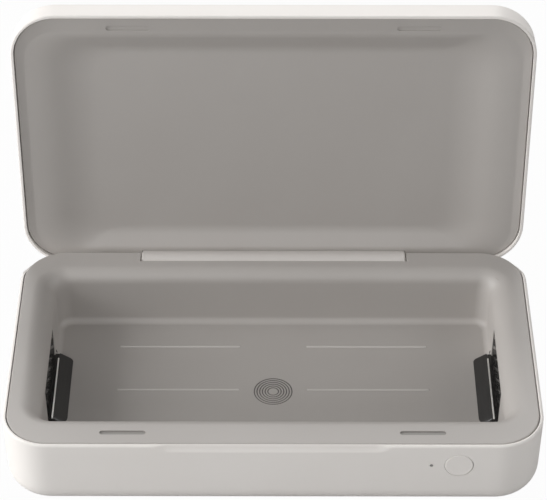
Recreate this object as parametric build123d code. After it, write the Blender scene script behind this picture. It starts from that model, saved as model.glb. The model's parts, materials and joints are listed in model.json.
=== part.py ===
"""Ultraviolet cleaning box for a phone: a low white case with a grey tray and a hinged lid.

Millimetres. X runs to the right, Y to the rear, Z up. The origin is the middle of the
underside, on the plane that the box rests on. The lid is drawn shut and then swung open.
"""

from build123d import *
import os

os.makedirs("parts", exist_ok=True)

# ---- casing -------------------------------------------------------------------------------
BOX_WIDTH = 228.0
BOX_DEPTH = 128.0
CORNER_RADIUS = 20.0
WALL = 2.0
BASE_HEIGHT = 36.2
BASE_DRAFT = 0.55
BASE_EDGE_RADIUS = 11.0
LID_HEIGHT = 12.9
LID_EDGE_RADIUS = 3.5
RIM_ROUND = 0.4
CLOSING_GAP = 0.2
SEAM_GAP = 0.3

# ---- ring that the box stands on ----------------------------------------------------------
FOOT_FROM_END = 22.0
FOOT_FROM_FRONT = 24.0
FOOT_CORNER = 18.0
FOOT_BAND = 7.0
FOOT_PROUD = 0.6
FOOT_SUNK = 0.6
FOOT_SIDE_GAP = 0.1

# ---- grey tray ----------------------------------------------------------------------------
LINER_WALL = 1.8
SKIRT_WALL = 1.5
SKIRT_DROP = 1.5
RIM_WIDTH_END = 16.0
RIM_WIDTH_FRONT = 18.6
RIM_WIDTH_REAR = 16.8
REAR_LIP = 1.6
REAR_LIP_GAP = 0.2
ROOM_UNDER_TRAY = 4.4
CHAMBER_TAPER = 2.0
CHAMBER_SIDE_TAPER = 0.3
CHAMBER_CORNER = 6.5
CHAMBER_FLOOR_RADIUS = 4.0
MOUTH_RADIUS = 6.0
COLLAR_EXTRA = 1.2
LINER_EDGE_ROUND = 0.6
RIB_LENGTH = 54.5
RIB_WIDTH = 1.0
RIB_HEIGHT = 0.4
RIB_CENTRE_X = 42.25
RIB_PITCH_Y = 30.0
RING_RADII = (2.0, 4.0, 6.0, 8.0)
RING_WIDTH = 0.9
RING_DEPTH = 0.25

# ---- lid lining ---------------------------------------------------------------------------
LID_BAND_SETBACK = 2.0
RECESS_FROM_END = 12.0
RECESS_FROM_FRONT = 10.5
RECESS_FROM_REAR = 5.5
RECESS_CORNER = 15.0
RECESS_TOP_CORNER = 10.0
RECESS_RISE = 5.0
RECESS_SLOPE_X = 17.0
RECESS_SLOPE_Y = 9.0
RECESS_SOFT = 9.0

# ---- pill-shaped dimples in both rims, with the magnets that hold the lid shut --------------
SLOT_X = 62.7
SLOT_FROM_FRONT = 8.4
SLOT_LENGTH = 19.0
SLOT_WIDTH = 2.3
SLOT_DEPTH = 1.0
LID_SLOT_FROM_FRONT = 6.8
LID_SLOT_DEPTH = 0.6
MAGNET_LENGTH = 18.0
MAGNET_WIDTH = 3.5
MAGNET_HEIGHT = 2.0
MAGNET_GAP = 0.1
SENSE_MAGNET_RADIUS = 2.0

# ---- finger scoop -------------------------------------------------------------------------
SCOOP_LENGTH = 98.0
SCOOP_HEIGHT = 3.0
SCOOP_DEPTH = 1.2
SCOOP_RUNOUT = 5.0

# ---- hinge --------------------------------------------------------------------------------
OPEN_ANGLE = 94.8
AXIS_INSET = 2.65
AXIS_DROP = 7.34
BARREL_RADIUS = 7.3
BARREL_LENGTH = 120.0
BARREL_END_GAP = 0.6
BARREL_SIDE_GAP = 0.4
BARREL_CORE = 2.95
RELIEF_START = 0.3
RELIEF_TOP = 0.4
STOP_GAP = 0.45
NOTCH_DEPTH = 7.0
GUTTER_WALL = 1.2
EAR_WIDTH = 6.0
EAR_FRONT = 4.5
EAR_BELOW = 5.0
EAR_ABOVE = 5.0
PIN_RADIUS = 1.2
PIN_INSIDE = 8.0
PIN_FIT = 0.03
PIN_RUNNING = 0.05
BUSH_RADIUS = 2.2
NECK_GAP = 1.7
LID_NOTCH_GAP = 0.5
HINGE_FLANGE_DEPTH = 5.0
HINGE_FLANGE_THICK = 1.5
HINGE_BOSS_HEIGHT = 3.0
HINGE_BOSS_RADIUS = 2.6
HINGE_SCREWS = 4
HINGE_SCREW_FROM_END = 15.0
HINGE_SCREW_INSET = 2.6
HINGE_HEAD_GAP = 0.3
RIM_SWEEP_GAP = 0.19

# ---- fasteners ----------------------------------------------------------------------------
CASE_SCREW_FROM_END = 10.5
CASE_SCREW_FROM_FRONT = 16.0
CASE_SCREW_RADIUS = 1.2
CASE_SCREW_LENGTH = 12.0
CASE_HEAD_RADIUS = 2.4
CASE_HEAD_HEIGHT = 1.6
CASE_HEAD_SUNK = 1.0
CASE_BOSS_RADIUS = 4.6
CASE_BOSS_HEIGHT = 3.0
CASE_POST_RADIUS = 3.5
SMALL_SCREW_RADIUS = 0.8
SMALL_SCREW_LENGTH = 3.0
SMALL_HEAD_RADIUS = 1.6
SMALL_HEAD_HEIGHT = 0.9
SCREW_FIT = 0.05
HEAD_FIT = 0.6

# ---- lamps in the end walls ---------------------------------------------------------------
WINDOW_LENGTH = 44.0
WINDOW_TOP_DROP = 10.0
WINDOW_ABOVE_FLOOR = 2.0
GUARD_THICK = 0.9
GUARD_GAP = 0.3
GUARD_FRAME = 1.2
LATTICE_PITCH = 7.2
LATTICE_BAR = 1.3
LATTICE_ANGLE = 52.0
SILL_LENGTH = 40.0
SILL_REACH = 7.2
SILL_HEIGHT = 2.4
SILL_LIP = 0.3
SILL_GAP = 0.1
TRIM_WIDTH = 0.9
TRIM_THICK = 0.3
HOUSING_LENGTH = 50.0
HOUSING_BELOW = 1.5
HOUSING_ABOVE = 1.7
HOUSING_DEPTH = 11.2
HOUSING_WALL = 1.2
REFLECTOR_THICK = 0.5
REFLECTOR_LENGTH = 35.0
REFLECTOR_HEIGHT = 13.0
REFLECTOR_DEPTH = 8.0
TUBE_RADIUS = 2.0
TUBE_LENGTH = 38.0
TUBE_FROM_BACK = 5.6
CAP_RADIUS = 3.2
CAP_GRIP = 1.4

# ---- charger ------------------------------------------------------------------------------
COIL_RADIUS = 22.0
COIL_BORE = 10.0
COIL_THICK = 1.2
FERRITE_SIDE = 46.0
FERRITE_THICK = 0.8
FERRITE_CORNER = 4.0

# ---- boards -------------------------------------------------------------------------------
BOARD_THICK = 1.0
MAIN_BOARD_X = 30.0
MAIN_BOARD_LENGTH = 58.0
MAIN_BOARD_DEPTH = 76.0
MAIN_BOARD_LIFT = 0.8
STANDOFF_RADIUS = 2.5
STANDOFF_INSET = 4.5
CONNECTOR_SIDE = 5.0
CONNECTOR_GAP = 1.0
CONNECTOR_HEIGHT = 1.8
CHIP_SIDE = 7.0
CHIP_HEIGHT = 0.9
CHOKE_SIDE = 6.3
CHOKE_HEIGHT = 2.0
CHOKE_X = 12.0
CHOKE_PITCH_Y = 10.0
DRIVER_SIDE = 5.6
DRIVER_X = -11.0
DRIVER_Y = 8.5
RESISTOR_SIZE = (1.6, 0.8, 0.8)
RESISTOR_PITCH = 2.6
RESISTOR_ROW_Y = -11.2
RESISTORS = 7
CAPACITOR_SIZE = (2.0, 1.2, 1.0)
CAPACITOR_PITCH = 3.4
CAPACITOR_ROW_Y = 16.8
CAPACITORS = 5
POWER_BOARD_LENGTH = 28.0
POWER_BOARD_DEPTH = 8.2
POWER_POST_X = 10.5
POWER_POST_RADIUS = 2.3
CABLE_RADIUS = 0.6
CABLE_BEND = 3.0
CABLE_LIFT = 2.6
CABLE_JOG = 9.0

# ---- charging socket ----------------------------------------------------------------------
SOCKET_WIDTH = 8.94
SOCKET_HEIGHT = 3.2
SOCKET_LENGTH = 7.0
SOCKET_WALL = 0.3
SOCKET_FIT = 0.2
SOCKET_CORNER = 1.45
SOCKET_ABOVE_EDGE = 0.4
SOCKET_SUNK = 0.1
TONGUE_WIDTH = 6.7
TONGUE_THICK = 0.7
TONGUE_LENGTH = 4.6
TONGUE_ROOT = 1.2

# ---- button and status light --------------------------------------------------------------
BUTTON_FROM_END = 36.2
BUTTON_DROP = 11.1
BUTTON_RADIUS = 6.2
BUTTON_GAP = 0.25
BUTTON_PROUD = 0.2
BUTTON_DISH = 0.15
BUTTON_TRAVEL = 0.6
BUTTON_FLANGE_RADIUS = 7.4
BUTTON_FLANGE_THICK = 0.7
BUTTON_FLANGE_GAP = 0.25
BUTTON_STEM_RADIUS = 2.0
BUTTON_STEM_LENGTH = 2.0
PLUNGER_RADIUS = 1.75
PLUNGER_LENGTH = 1.9
PLUNGER_GAP = 0.05
SWITCH_SIDE = 6.0
SWITCH_DEPTH = 3.4
SWITCH_BORE_GAP = 0.1
BUTTON_BOARD_LENGTH = 40.0
BUTTON_BOARD_ASIDE = 0.8
BUTTON_BOARD_HEIGHT = 13.2
BUTTON_POST_RADIUS = 2.4
BUTTON_POST_INSET = 3.0
BUTTON_POST_RISE = 3.0
LIGHT_FROM_BUTTON = 11.5
LIGHT_RADIUS = 0.6
LIGHT_FIT = 0.05
LIGHT_FLANGE_RADIUS = 1.6
LIGHT_FLANGE_GAP = 0.05
LED_SIZE = (3.2, 1.1, 1.6)
LED_GAP = 0.2
SENSOR_SIZE = (4.0, 1.5, 3.0)
SENSOR_RISE = 1.2
SENSOR_FROM_BUTTON = 12.2
RIBBON_WIDTH = 8.0
RIBBON_THICK = 0.3
RIBBON_BEND = 2.0
RIBBON_OVERLAP = 5.0

# ---- allowances ---------------------------------------------------------------------------
CUT_PAST = 0.5
CLEARANCE = 0.5
CORNER_SPARE = 0.3
NEAR = 0.05

# ---- places worked out from the sizes above -----------------------------------------------
POST_ROOT = WALL / 2
HALF_X = BOX_WIDTH / 2
HALF_Y = BOX_DEPTH / 2
SHELL_FLOOR = FOOT_PROUD + WALL
RIM = FOOT_PROUD + BASE_HEIGHT
LINER_X = HALF_X - WALL - SEAM_GAP
LINER_Y = HALF_Y - WALL - SEAM_GAP
LINER_CORNER = CORNER_RADIUS - WALL - SEAM_GAP
FLOOR_UNDER = SHELL_FLOOR + ROOM_UNDER_TRAY
FLOOR = FLOOR_UNDER + LINER_WALL
CHAMBER_DROP = RIM - FLOOR
FLANGE_UNDER = RIM - LINER_WALL
HALF_CHAMBER_X = HALF_X - RIM_WIDTH_END
HALF_CHAMBER_Y = HALF_Y - (RIM_WIDTH_FRONT + RIM_WIDTH_REAR) / 2
CHAMBER_Y = (RIM_WIDTH_FRONT - RIM_WIDTH_REAR) / 2
HALF_RECESS_X = HALF_X - RECESS_FROM_END
HALF_RECESS_Y = HALF_Y - (RECESS_FROM_FRONT + RECESS_FROM_REAR) / 2
RECESS_Y = (RECESS_FROM_FRONT - RECESS_FROM_REAR) / 2
SLOT_Y = -(HALF_Y - SLOT_FROM_FRONT)
LID_SLOT_Y = -(HALF_Y - LID_SLOT_FROM_FRONT)
CASE_SCREW_X = HALF_X - CASE_SCREW_FROM_END
CASE_SCREW_Y = HALF_Y - CASE_SCREW_FROM_FRONT
LID_TOP = RIM + LID_HEIGHT
LID_CEILING = LID_TOP - WALL
BAND = RIM + LID_BAND_SETBACK
AXIS_Y = HALF_Y - AXIS_INSET
AXIS_Z = RIM - AXIS_DROP
HINGE = Axis((0, AXIS_Y, AXIS_Z), (1, 0, 0))
NOTCH_HALF = BARREL_LENGTH / 2 + BARREL_END_GAP
NOTCH_FRONT_Y = HALF_Y - NOTCH_DEPTH
NECK_FRONT_Y = NOTCH_FRONT_Y + NECK_GAP
LID_NOTCH_Y = NECK_FRONT_Y - LID_NOTCH_GAP
SILL_Z = AXIS_Z - AXIS_INSET - STOP_GAP
BOARD_Z = SHELL_FLOOR + MAIN_BOARD_LIFT
BUTTON_X = HALF_X - BUTTON_FROM_END
BUTTON_Z = RIM - BUTTON_DROP
BUTTON_BOARD_LEFT = BUTTON_X - BUTTON_BOARD_LENGTH / 2 - BUTTON_BOARD_ASIDE
BUTTON_BOARD_RIGHT = BUTTON_BOARD_LEFT + BUTTON_BOARD_LENGTH
LIGHT_X = BUTTON_X - LIGHT_FROM_BUTTON
SENSE_X = BUTTON_X + SENSOR_FROM_BUTTON


def wall_inset(z):
    """How far the drafted outer wall has drawn in at height z."""
    return BASE_DRAFT * (RIM - z) / BASE_HEIGHT


def chamber_inset(z):
    """How far the tapered chamber wall has drawn in at height z."""
    return CHAMBER_TAPER * (RIM - z) / CHAMBER_DROP


def block(x0, x1, y0, y1, z0, z1):
    """A box between two corners."""
    return Pos((x0 + x1) / 2, (y0 + y1) / 2, (z0 + z1) / 2) * Box(x1 - x0, y1 - y0, z1 - z0)


def rod_x(radius, x0, x1, y, z):
    """A cylinder along X."""
    return Pos((x0 + x1) / 2, y, z) * Rot(0, 90, 0) * Cylinder(radius, x1 - x0)


def rod_y(radius, x, y0, y1, z):
    """A cylinder along Y."""
    return Pos(x, (y0 + y1) / 2, z) * Rot(90, 0, 0) * Cylinder(radius, y1 - y0)


def rod_z(radius, x, y, z0, z1):
    """A cylinder along Z."""
    return Pos(x, y, (z0 + z1) / 2) * Cylinder(radius, z1 - z0)


def plate(half_x, half_y, corner, z0, z1):
    """A slab with rounded corners in plan."""
    outline = Plane.XY.offset(z0) * RectangleRounded(2 * half_x, 2 * half_y, corner)
    return extrude(outline, z1 - z0)


def pan(half_x, half_y, corner, z_rim, z_end, inset, edge):
    """A tapered block whose outline draws in from the rim to the end, with a rounded end."""
    rim = Plane.XY.offset(z_rim) * RectangleRounded(2 * half_x, 2 * half_y, corner)
    end_x = half_x - inset
    end_y = half_y - inset
    end_corner = max(corner - inset, edge + CORNER_SPARE)
    end = Plane.XY.offset(z_end) * RectangleRounded(2 * end_x, 2 * end_y, end_corner)
    body = loft([rim, end], ruled=True)
    side = 0 if z_end < z_rim else -1
    return fillet(body.edges().group_by(Axis.Z)[side], edge)


def chamber_block(grow, z_end):
    """The chamber's hollow down to z_end, or its outer skin, which is larger by grow."""
    half_x = HALF_CHAMBER_X + grow
    half_y = HALF_CHAMBER_Y + grow
    corner = CHAMBER_CORNER + grow
    edge = CHAMBER_FLOOR_RADIUS + grow
    mouth = RectangleRounded(2 * half_x, 2 * half_y, corner)
    mouth = Plane.XY.offset(RIM) * Pos(0, CHAMBER_Y) * mouth
    end_x = half_x - CHAMBER_TAPER
    end_y = half_y - CHAMBER_SIDE_TAPER
    end_corner = max(corner - CHAMBER_SIDE_TAPER, edge + CORNER_SPARE)
    end = RectangleRounded(2 * end_x, 2 * end_y, end_corner)
    end = Plane.XY.offset(z_end) * Pos(0, CHAMBER_Y) * end
    body = loft([mouth, end], ruled=True)
    return fillet(body.edges().group_by(Axis.Z)[0], edge)


def dish(z_mouth, soft):
    """The lid's shallow recess: sloping sides that draw in upwards to a flat top."""
    mouth = RectangleRounded(2 * HALF_RECESS_X, 2 * HALF_RECESS_Y, RECESS_CORNER)
    mouth = Plane.XY.offset(z_mouth) * Pos(0, RECESS_Y) * mouth
    top_x = HALF_RECESS_X - RECESS_SLOPE_X
    top_y = HALF_RECESS_Y - RECESS_SLOPE_Y
    top = RectangleRounded(2 * top_x, 2 * top_y, RECESS_TOP_CORNER)
    top = Plane.XY.offset(z_mouth + RECESS_RISE) * Pos(0, RECESS_Y) * top
    body = loft([mouth, top], ruled=True)
    return fillet(body.edges().group_by(Axis.Z)[-1], soft)


def pill(length, width, x, y, z0, z1):
    """A slab with half-round ends, long in X."""
    return extrude(Plane.XY.offset(z0) * Pos(x, y) * SlotOverall(length, width), z1 - z0)


def both_sides(shape):
    """The shape and its mirror image across the middle of the box."""
    return shape + mirror(shape, about=Plane.YZ)


def four_corners(shape):
    """The shape mirrored into all four corners."""
    right = shape + mirror(shape, about=Plane.XZ)
    return both_sides(right)


def screw_z(x, y, z_head, down, shank, length, head, head_height):
    """A plain-shanked screw on a vertical line; down says which way its shank points."""
    way = -1 if down else 1
    stem_end = z_head + way * length
    head_end = z_head - way * head_height
    stem = rod_z(shank, x, y, min(z_head, stem_end), max(z_head, stem_end))
    return stem + rod_z(head, x, y, min(z_head, head_end), max(z_head, head_end))


def small_screw(x, y, z_head):
    """A board screw with its head on top."""
    return screw_z(x, y, z_head, True, SMALL_SCREW_RADIUS, SMALL_SCREW_LENGTH,
                   SMALL_HEAD_RADIUS, SMALL_HEAD_HEIGHT)


# ---- rounded casing of the base -----------------------------------------------------------
def beyond_lid_path():
    """What lies outside the path of the lid's rear edge, behind the hinge line."""
    sweep = AXIS_DROP + CLOSING_GAP - RIM_SWEEP_GAP
    corner = block(-HALF_X, HALF_X, AXIS_Y, HALF_Y + CUT_PAST, AXIS_Z, RIM + CUT_PAST)
    return corner - rod_x(sweep, -HALF_X, HALF_X, AXIS_Y, AXIS_Z)


def rim_slab(grow, z0, z1):
    """The tray's rim in plan, larger by grow; it reaches further back than the tray's skirt."""
    shift = REAR_LIP / 2
    slab = plate(LINER_X + grow, LINER_Y + shift + grow, LINER_CORNER + shift + grow, z0, z1)
    return Pos(0, shift) * slab


def scoop_cutter():
    """A long hollow under the front of the rim, for a finger, with tapered ends."""
    radius = (SCOOP_HEIGHT**2 + SCOOP_DEPTH**2) / (2 * SCOOP_DEPTH)
    offset = radius - SCOOP_DEPTH
    straight = SCOOP_LENGTH / 2 - SCOOP_RUNOUT
    y = -HALF_Y - offset
    groove = rod_x(radius, -straight, straight, y, RIM)
    runout = Rot(0, 90, 0) * Cone(radius, offset, SCOOP_RUNOUT)
    end = Pos(straight + SCOOP_RUNOUT / 2, y, RIM) * runout
    return groove + both_sides(end)


def main_standoffs():
    """Middles of the four posts under the main board."""
    x0 = MAIN_BOARD_X + STANDOFF_INSET
    x1 = MAIN_BOARD_X + MAIN_BOARD_LENGTH - STANDOFF_INSET
    y = MAIN_BOARD_DEPTH / 2 - STANDOFF_INSET
    return [(x, side * y) for x in (x0, x1) for side in (-1, 1)]


def socket_z():
    """Height of the middle of the charging socket, just above the rounded lower edge."""
    return FOOT_PROUD + BASE_EDGE_RADIUS + SOCKET_ABOVE_EDGE + SOCKET_HEIGHT / 2


def power_board_front():
    """Front edge of the small rear board."""
    return HALF_Y - WALL - BASE_DRAFT - POWER_BOARD_DEPTH


def power_board_top():
    """Top face of the small rear board, where the socket sits."""
    return socket_z() - SOCKET_HEIGHT / 2


def power_posts():
    """Middles of the two posts under the small rear board."""
    y = power_board_front() + POWER_POST_RADIUS + CLEARANCE
    return [(-POWER_POST_X, y), (POWER_POST_X, y)]


def front_outside():
    """Y of the front wall's outer face at the button's height."""
    return -HALF_Y + wall_inset(BUTTON_Z)


def front_inside():
    """Y of the front wall's inner face at the button's height."""
    return front_outside() + WALL


def button_board_y():
    """Y of the face of the button board that carries the switch."""
    flange_back = front_inside() + BUTTON_FLANGE_GAP + BUTTON_FLANGE_THICK
    plunger_front = flange_back + BUTTON_STEM_LENGTH + PLUNGER_GAP
    return plunger_front + BUTTON_TRAVEL + PLUNGER_GAP + SWITCH_DEPTH


def button_board_bottom():
    """Lower edge of the button board; its top stays under the tray's collar."""
    return RIM - MOUTH_RADIUS - COLLAR_EXTRA - CLEARANCE - BUTTON_BOARD_HEIGHT


def button_posts():
    """Middles, in X and Z, of the two posts that hold the button board."""
    z = button_board_bottom() + BUTTON_POST_RISE
    return [(BUTTON_BOARD_LEFT + BUTTON_POST_INSET, z), (BUTTON_BOARD_RIGHT - BUTTON_POST_INSET, z)]


def socket_prism(width, height, corner, y0, y1):
    """A rounded bar along Y at the socket's place."""
    face = Plane.XZ.offset(-y0) * Pos(0, socket_z()) * RectangleRounded(width, height, corner)
    return extrude(face, y0 - y1)


def base_shell():
    """White lower casing: a drafted pan with a broadly rounded lower edge."""
    body = pan(HALF_X, HALF_Y, CORNER_RADIUS, RIM, FOOT_PROUD, BASE_DRAFT, BASE_EDGE_RADIUS)
    body = fillet(body.edges().group_by(Axis.Z)[-1], RIM_ROUND)
    hollow_inset = wall_inset(SHELL_FLOOR)
    body -= pan(HALF_X - WALL, HALF_Y - WALL, CORNER_RADIUS - WALL, RIM, SHELL_FLOOR,
                hollow_inset, BASE_EDGE_RADIUS - WALL)

    # Posts that stand on the casing's floor or on its front wall.
    boss_top = SHELL_FLOOR + CASE_BOSS_HEIGHT
    body += four_corners(rod_z(CASE_BOSS_RADIUS, CASE_SCREW_X, CASE_SCREW_Y,
                               SHELL_FLOOR - POST_ROOT, boss_top))
    for x, y in main_standoffs():
        body += rod_z(STANDOFF_RADIUS, x, y, SHELL_FLOOR - POST_ROOT, BOARD_Z)
    for x, y in power_posts():
        body += rod_z(POWER_POST_RADIUS, x, y, SHELL_FLOOR - POST_ROOT,
                      power_board_top() - BOARD_THICK)
    for x, z in button_posts():
        body += rod_y(BUTTON_POST_RADIUS, x, front_inside() - POST_ROOT, button_board_y(), z)

    # Ears that hold the hinge pins, just outside the barrel's ends.
    ear = block(NOTCH_HALF, NOTCH_HALF + EAR_WIDTH, AXIS_Y - EAR_FRONT, HALF_Y - POST_ROOT,
                AXIS_Z - EAR_BELOW, AXIS_Z + EAR_ABOVE)
    body += both_sides(ear)
    body -= both_sides(rod_x(PIN_RADIUS + PIN_FIT, NOTCH_HALF, NOTCH_HALF + EAR_WIDTH,
                             AXIS_Y, AXIS_Z))

    # Cuts through the wall and the floor.
    body -= block(-NOTCH_HALF, NOTCH_HALF, HALF_Y - WALL - CUT_PAST, HALF_Y + CUT_PAST,
                  SILL_Z, RIM + CUT_PAST)
    under_lip = FLANGE_UNDER - REAR_LIP_GAP
    body -= block(-HALF_X, HALF_X, AXIS_Y, HALF_Y + CUT_PAST, under_lip, RIM + CUT_PAST)
    body -= rim_slab(SEAM_GAP, under_lip, RIM + CUT_PAST)
    body -= scoop_cutter()
    body -= rod_y(BUTTON_RADIUS + BUTTON_GAP, BUTTON_X, -HALF_Y - CUT_PAST,
                  front_inside() + CUT_PAST, BUTTON_Z)
    body -= rod_y(LIGHT_RADIUS + LIGHT_FIT, LIGHT_X, -HALF_Y - CUT_PAST,
                  front_inside() + CUT_PAST, BUTTON_Z)
    body -= socket_prism(SOCKET_WIDTH + 2 * SOCKET_FIT, SOCKET_HEIGHT + 2 * SOCKET_FIT,
                         SOCKET_CORNER + SOCKET_FIT, HALF_Y - WALL - 2 * CUT_PAST,
                         HALF_Y + CUT_PAST)
    head_seat = FOOT_PROUD + CASE_HEAD_SUNK + CASE_HEAD_HEIGHT
    body -= four_corners(rod_z(CASE_HEAD_RADIUS + HEAD_FIT, CASE_SCREW_X, CASE_SCREW_Y,
                               0, head_seat))
    body -= four_corners(rod_z(CASE_SCREW_RADIUS + SCREW_FIT, CASE_SCREW_X, CASE_SCREW_Y,
                               0, boss_top + CUT_PAST))
    for x, y in main_standoffs():
        body -= rod_z(SMALL_SCREW_RADIUS + SCREW_FIT, x, y,
                      BOARD_Z + BOARD_THICK - SMALL_SCREW_LENGTH - SCREW_FIT, BOARD_Z + CUT_PAST)
    for x, y in power_posts():
        body -= rod_z(SMALL_SCREW_RADIUS + SCREW_FIT, x, y,
                      power_board_top() - SMALL_SCREW_LENGTH - SCREW_FIT, power_board_top())
    for x, z in button_posts():
        body -= rod_y(SMALL_SCREW_RADIUS + SCREW_FIT, x,
                      button_board_y() + BOARD_THICK - SMALL_SCREW_LENGTH - SCREW_FIT,
                      button_board_y() + CUT_PAST, z)
    groove = foot_band(FOOT_SIDE_GAP, FOOT_PROUD - CUT_PAST, FOOT_PROUD + FOOT_SUNK)
    return body - groove


def foot_band(grow, z0, z1):
    """The rounded rectangular band of the rest ring, wider by grow on both sides."""
    half_x = HALF_X - FOOT_FROM_END
    half_y = HALF_Y - FOOT_FROM_FRONT
    shrink = FOOT_BAND + grow
    outer = plate(half_x + grow, half_y + grow, FOOT_CORNER + grow, z0, z1)
    return outer - plate(half_x - shrink, half_y - shrink, FOOT_CORNER - shrink, z0, z1)


def case_screws():
    """Four screws that pull the tray down from below."""
    seat = FOOT_PROUD + CASE_HEAD_SUNK + CASE_HEAD_HEIGHT
    return four_corners(screw_z(CASE_SCREW_X, CASE_SCREW_Y, seat, False, CASE_SCREW_RADIUS,
                                CASE_SCREW_LENGTH, CASE_HEAD_RADIUS, CASE_HEAD_HEIGHT))


# ---- grey tray of the base ----------------------------------------------------------------
def barrel_room():
    """The round space in which the hinge barrel turns."""
    return rod_x(BARREL_RADIUS + BARREL_SIDE_GAP, -NOTCH_HALF, NOTCH_HALF, AXIS_Y, AXIS_Z)


def hinge_gutter():
    """A curved wall in front of and under the barrel, which shuts off the electronics."""
    outer = BARREL_RADIUS + BARREL_SIDE_GAP + GUTTER_WALL
    tube = rod_x(outer, -NOTCH_HALF, NOTCH_HALF, AXIS_Y, AXIS_Z)
    keep = block(-NOTCH_HALF, NOTCH_HALF, AXIS_Y - outer, LINER_Y, AXIS_Z - outer, FLANGE_UNDER)
    keep -= block(-NOTCH_HALF, NOTCH_HALF, AXIS_Y, LINER_Y, AXIS_Z, FLANGE_UNDER)
    return tube & keep


def charging_marks():
    """Concentric grooves in the floor that show where the charging coil lies."""
    marks = Part()
    for radius in RING_RADII:
        ring = rod_z(radius + RING_WIDTH / 2, 0, 0, FLOOR - RING_DEPTH, FLOOR + CUT_PAST)
        ring -= rod_z(radius - RING_WIDTH / 2, 0, 0, FLOOR - RING_DEPTH, FLOOR + CUT_PAST)
        marks += ring
    return marks


def magnet_bar(z0, grow):
    """One closing magnet under the right-hand dimple, grown by grow at its sides."""
    half = MAGNET_LENGTH / 2 + grow
    side = MAGNET_WIDTH / 2 + grow
    return block(SLOT_X - half, SLOT_X + half, SLOT_Y - side, SLOT_Y + side,
                 z0, z0 + MAGNET_HEIGHT)


def base_liner():
    """Grey tray: rim, deep chamber, lamp windows, hinge gutter and screw posts."""
    rim = rim_slab(0, FLANGE_UNDER, RIM)
    rim = fillet(rim.edges().group_by(Axis.Z)[-1], LINER_EDGE_ROUND)
    rim -= beyond_lid_path()
    skirt = plate(LINER_X, LINER_Y, LINER_CORNER, FLANGE_UNDER - SKIRT_DROP, FLANGE_UNDER)
    skirt -= plate(LINER_X - SKIRT_WALL, LINER_Y - SKIRT_WALL, LINER_CORNER - SKIRT_WALL,
                   FLANGE_UNDER - SKIRT_DROP, FLANGE_UNDER)
    collar_reach = MOUTH_RADIUS + COLLAR_EXTRA
    collar = Pos(0, CHAMBER_Y) * plate(HALF_CHAMBER_X + collar_reach,
                                       HALF_CHAMBER_Y + collar_reach,
                                       CHAMBER_CORNER + collar_reach, RIM - collar_reach,
                                       FLANGE_UNDER)
    below_rim = plate(LINER_X, LINER_Y, LINER_CORNER, FLOOR_UNDER, FLANGE_UNDER)
    body = rim + skirt + collar + (outer_chamber() & below_rim) + hinge_gutter()
    post_foot = SHELL_FLOOR + CASE_BOSS_HEIGHT
    body += four_corners(rod_z(CASE_POST_RADIUS, CASE_SCREW_X, CASE_SCREW_Y,
                               post_foot, FLANGE_UNDER))
    body -= chamber_block(0, FLOOR)
    body = fillet(mouth_edges(body, RIM, HALF_CHAMBER_X, HALF_CHAMBER_Y, CHAMBER_Y), MOUTH_RADIUS)

    for side in (-1, 1):
        for row in (-1, 0, 1):
            body += pill(RIB_LENGTH, RIB_WIDTH, side * RIB_CENTRE_X, row * RIB_PITCH_Y,
                         FLOOR - RIB_HEIGHT, FLOOR + RIB_HEIGHT)
    body -= charging_marks()
    body -= both_sides(pill(SLOT_LENGTH, SLOT_WIDTH, SLOT_X, SLOT_Y, RIM - SLOT_DEPTH,
                            RIM + CUT_PAST))
    body -= both_sides(magnet_bar(FLANGE_UNDER - MAGNET_HEIGHT, MAGNET_GAP))
    body -= both_sides(window_cutter())
    body -= both_sides(sill_pocket())
    body -= barrel_room()
    body -= block(-NOTCH_HALF, NOTCH_HALF, NOTCH_FRONT_Y, HALF_Y, AXIS_Z, RIM + CUT_PAST)
    ear_room = block(NOTCH_HALF, NOTCH_HALF + EAR_WIDTH + CLEARANCE,
                     AXIS_Y - EAR_FRONT - CLEARANCE, HALF_Y, AXIS_Z - EAR_BELOW - CLEARANCE,
                     FLANGE_UNDER)
    body -= both_sides(ear_room)
    body -= four_corners(rod_z(CASE_SCREW_RADIUS + SCREW_FIT, CASE_SCREW_X, CASE_SCREW_Y,
                               post_foot, post_foot + CASE_SCREW_LENGTH))
    return body


def mouth_edges(body, z, half_x, half_y, y):
    """The edges of a hollow's mouth in the plane z, which has its middle at y."""
    inside = []
    for edge in body.edges().filter_by_position(Axis.Z, z - NEAR, z + NEAR):
        middle = edge.center()
        if abs(middle.X) < half_x + NEAR and abs(middle.Y - y) < half_y + NEAR:
            inside.append(edge)
    return inside


# ---- lamps --------------------------------------------------------------------------------
def end_wall_x(z):
    """X of the right-hand end wall's chamber side at height z."""
    return HALF_CHAMBER_X - chamber_inset(z)


def window_bottom():
    """Height of the lamp windows' lower edge."""
    return FLOOR + WINDOW_ABOVE_FLOOR


def window_top():
    """Height of the lamp windows' upper edge."""
    return RIM - WINDOW_TOP_DROP


def window_cutter():
    """The right-hand lamp window, cut through the end wall."""
    return block(HALF_CHAMBER_X - CHAMBER_TAPER - CUT_PAST, HALF_CHAMBER_X + LINER_WALL + CUT_PAST,
                 -WINDOW_LENGTH / 2, WINDOW_LENGTH / 2, window_bottom(), window_top())


def sill_back():
    """X of the sill's back, just clear of the end wall."""
    return end_wall_x(FLOOR) - SILL_GAP


def sill_pocket():
    """The corner between floor and end wall, squared off where the lamp's sill lies."""
    return block(sill_back() - SILL_REACH, end_wall_x(FLOOR), -SILL_LENGTH / 2 - GUARD_GAP,
                 SILL_LENGTH / 2 + GUARD_GAP, FLOOR, window_bottom() + CUT_PAST)


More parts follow.
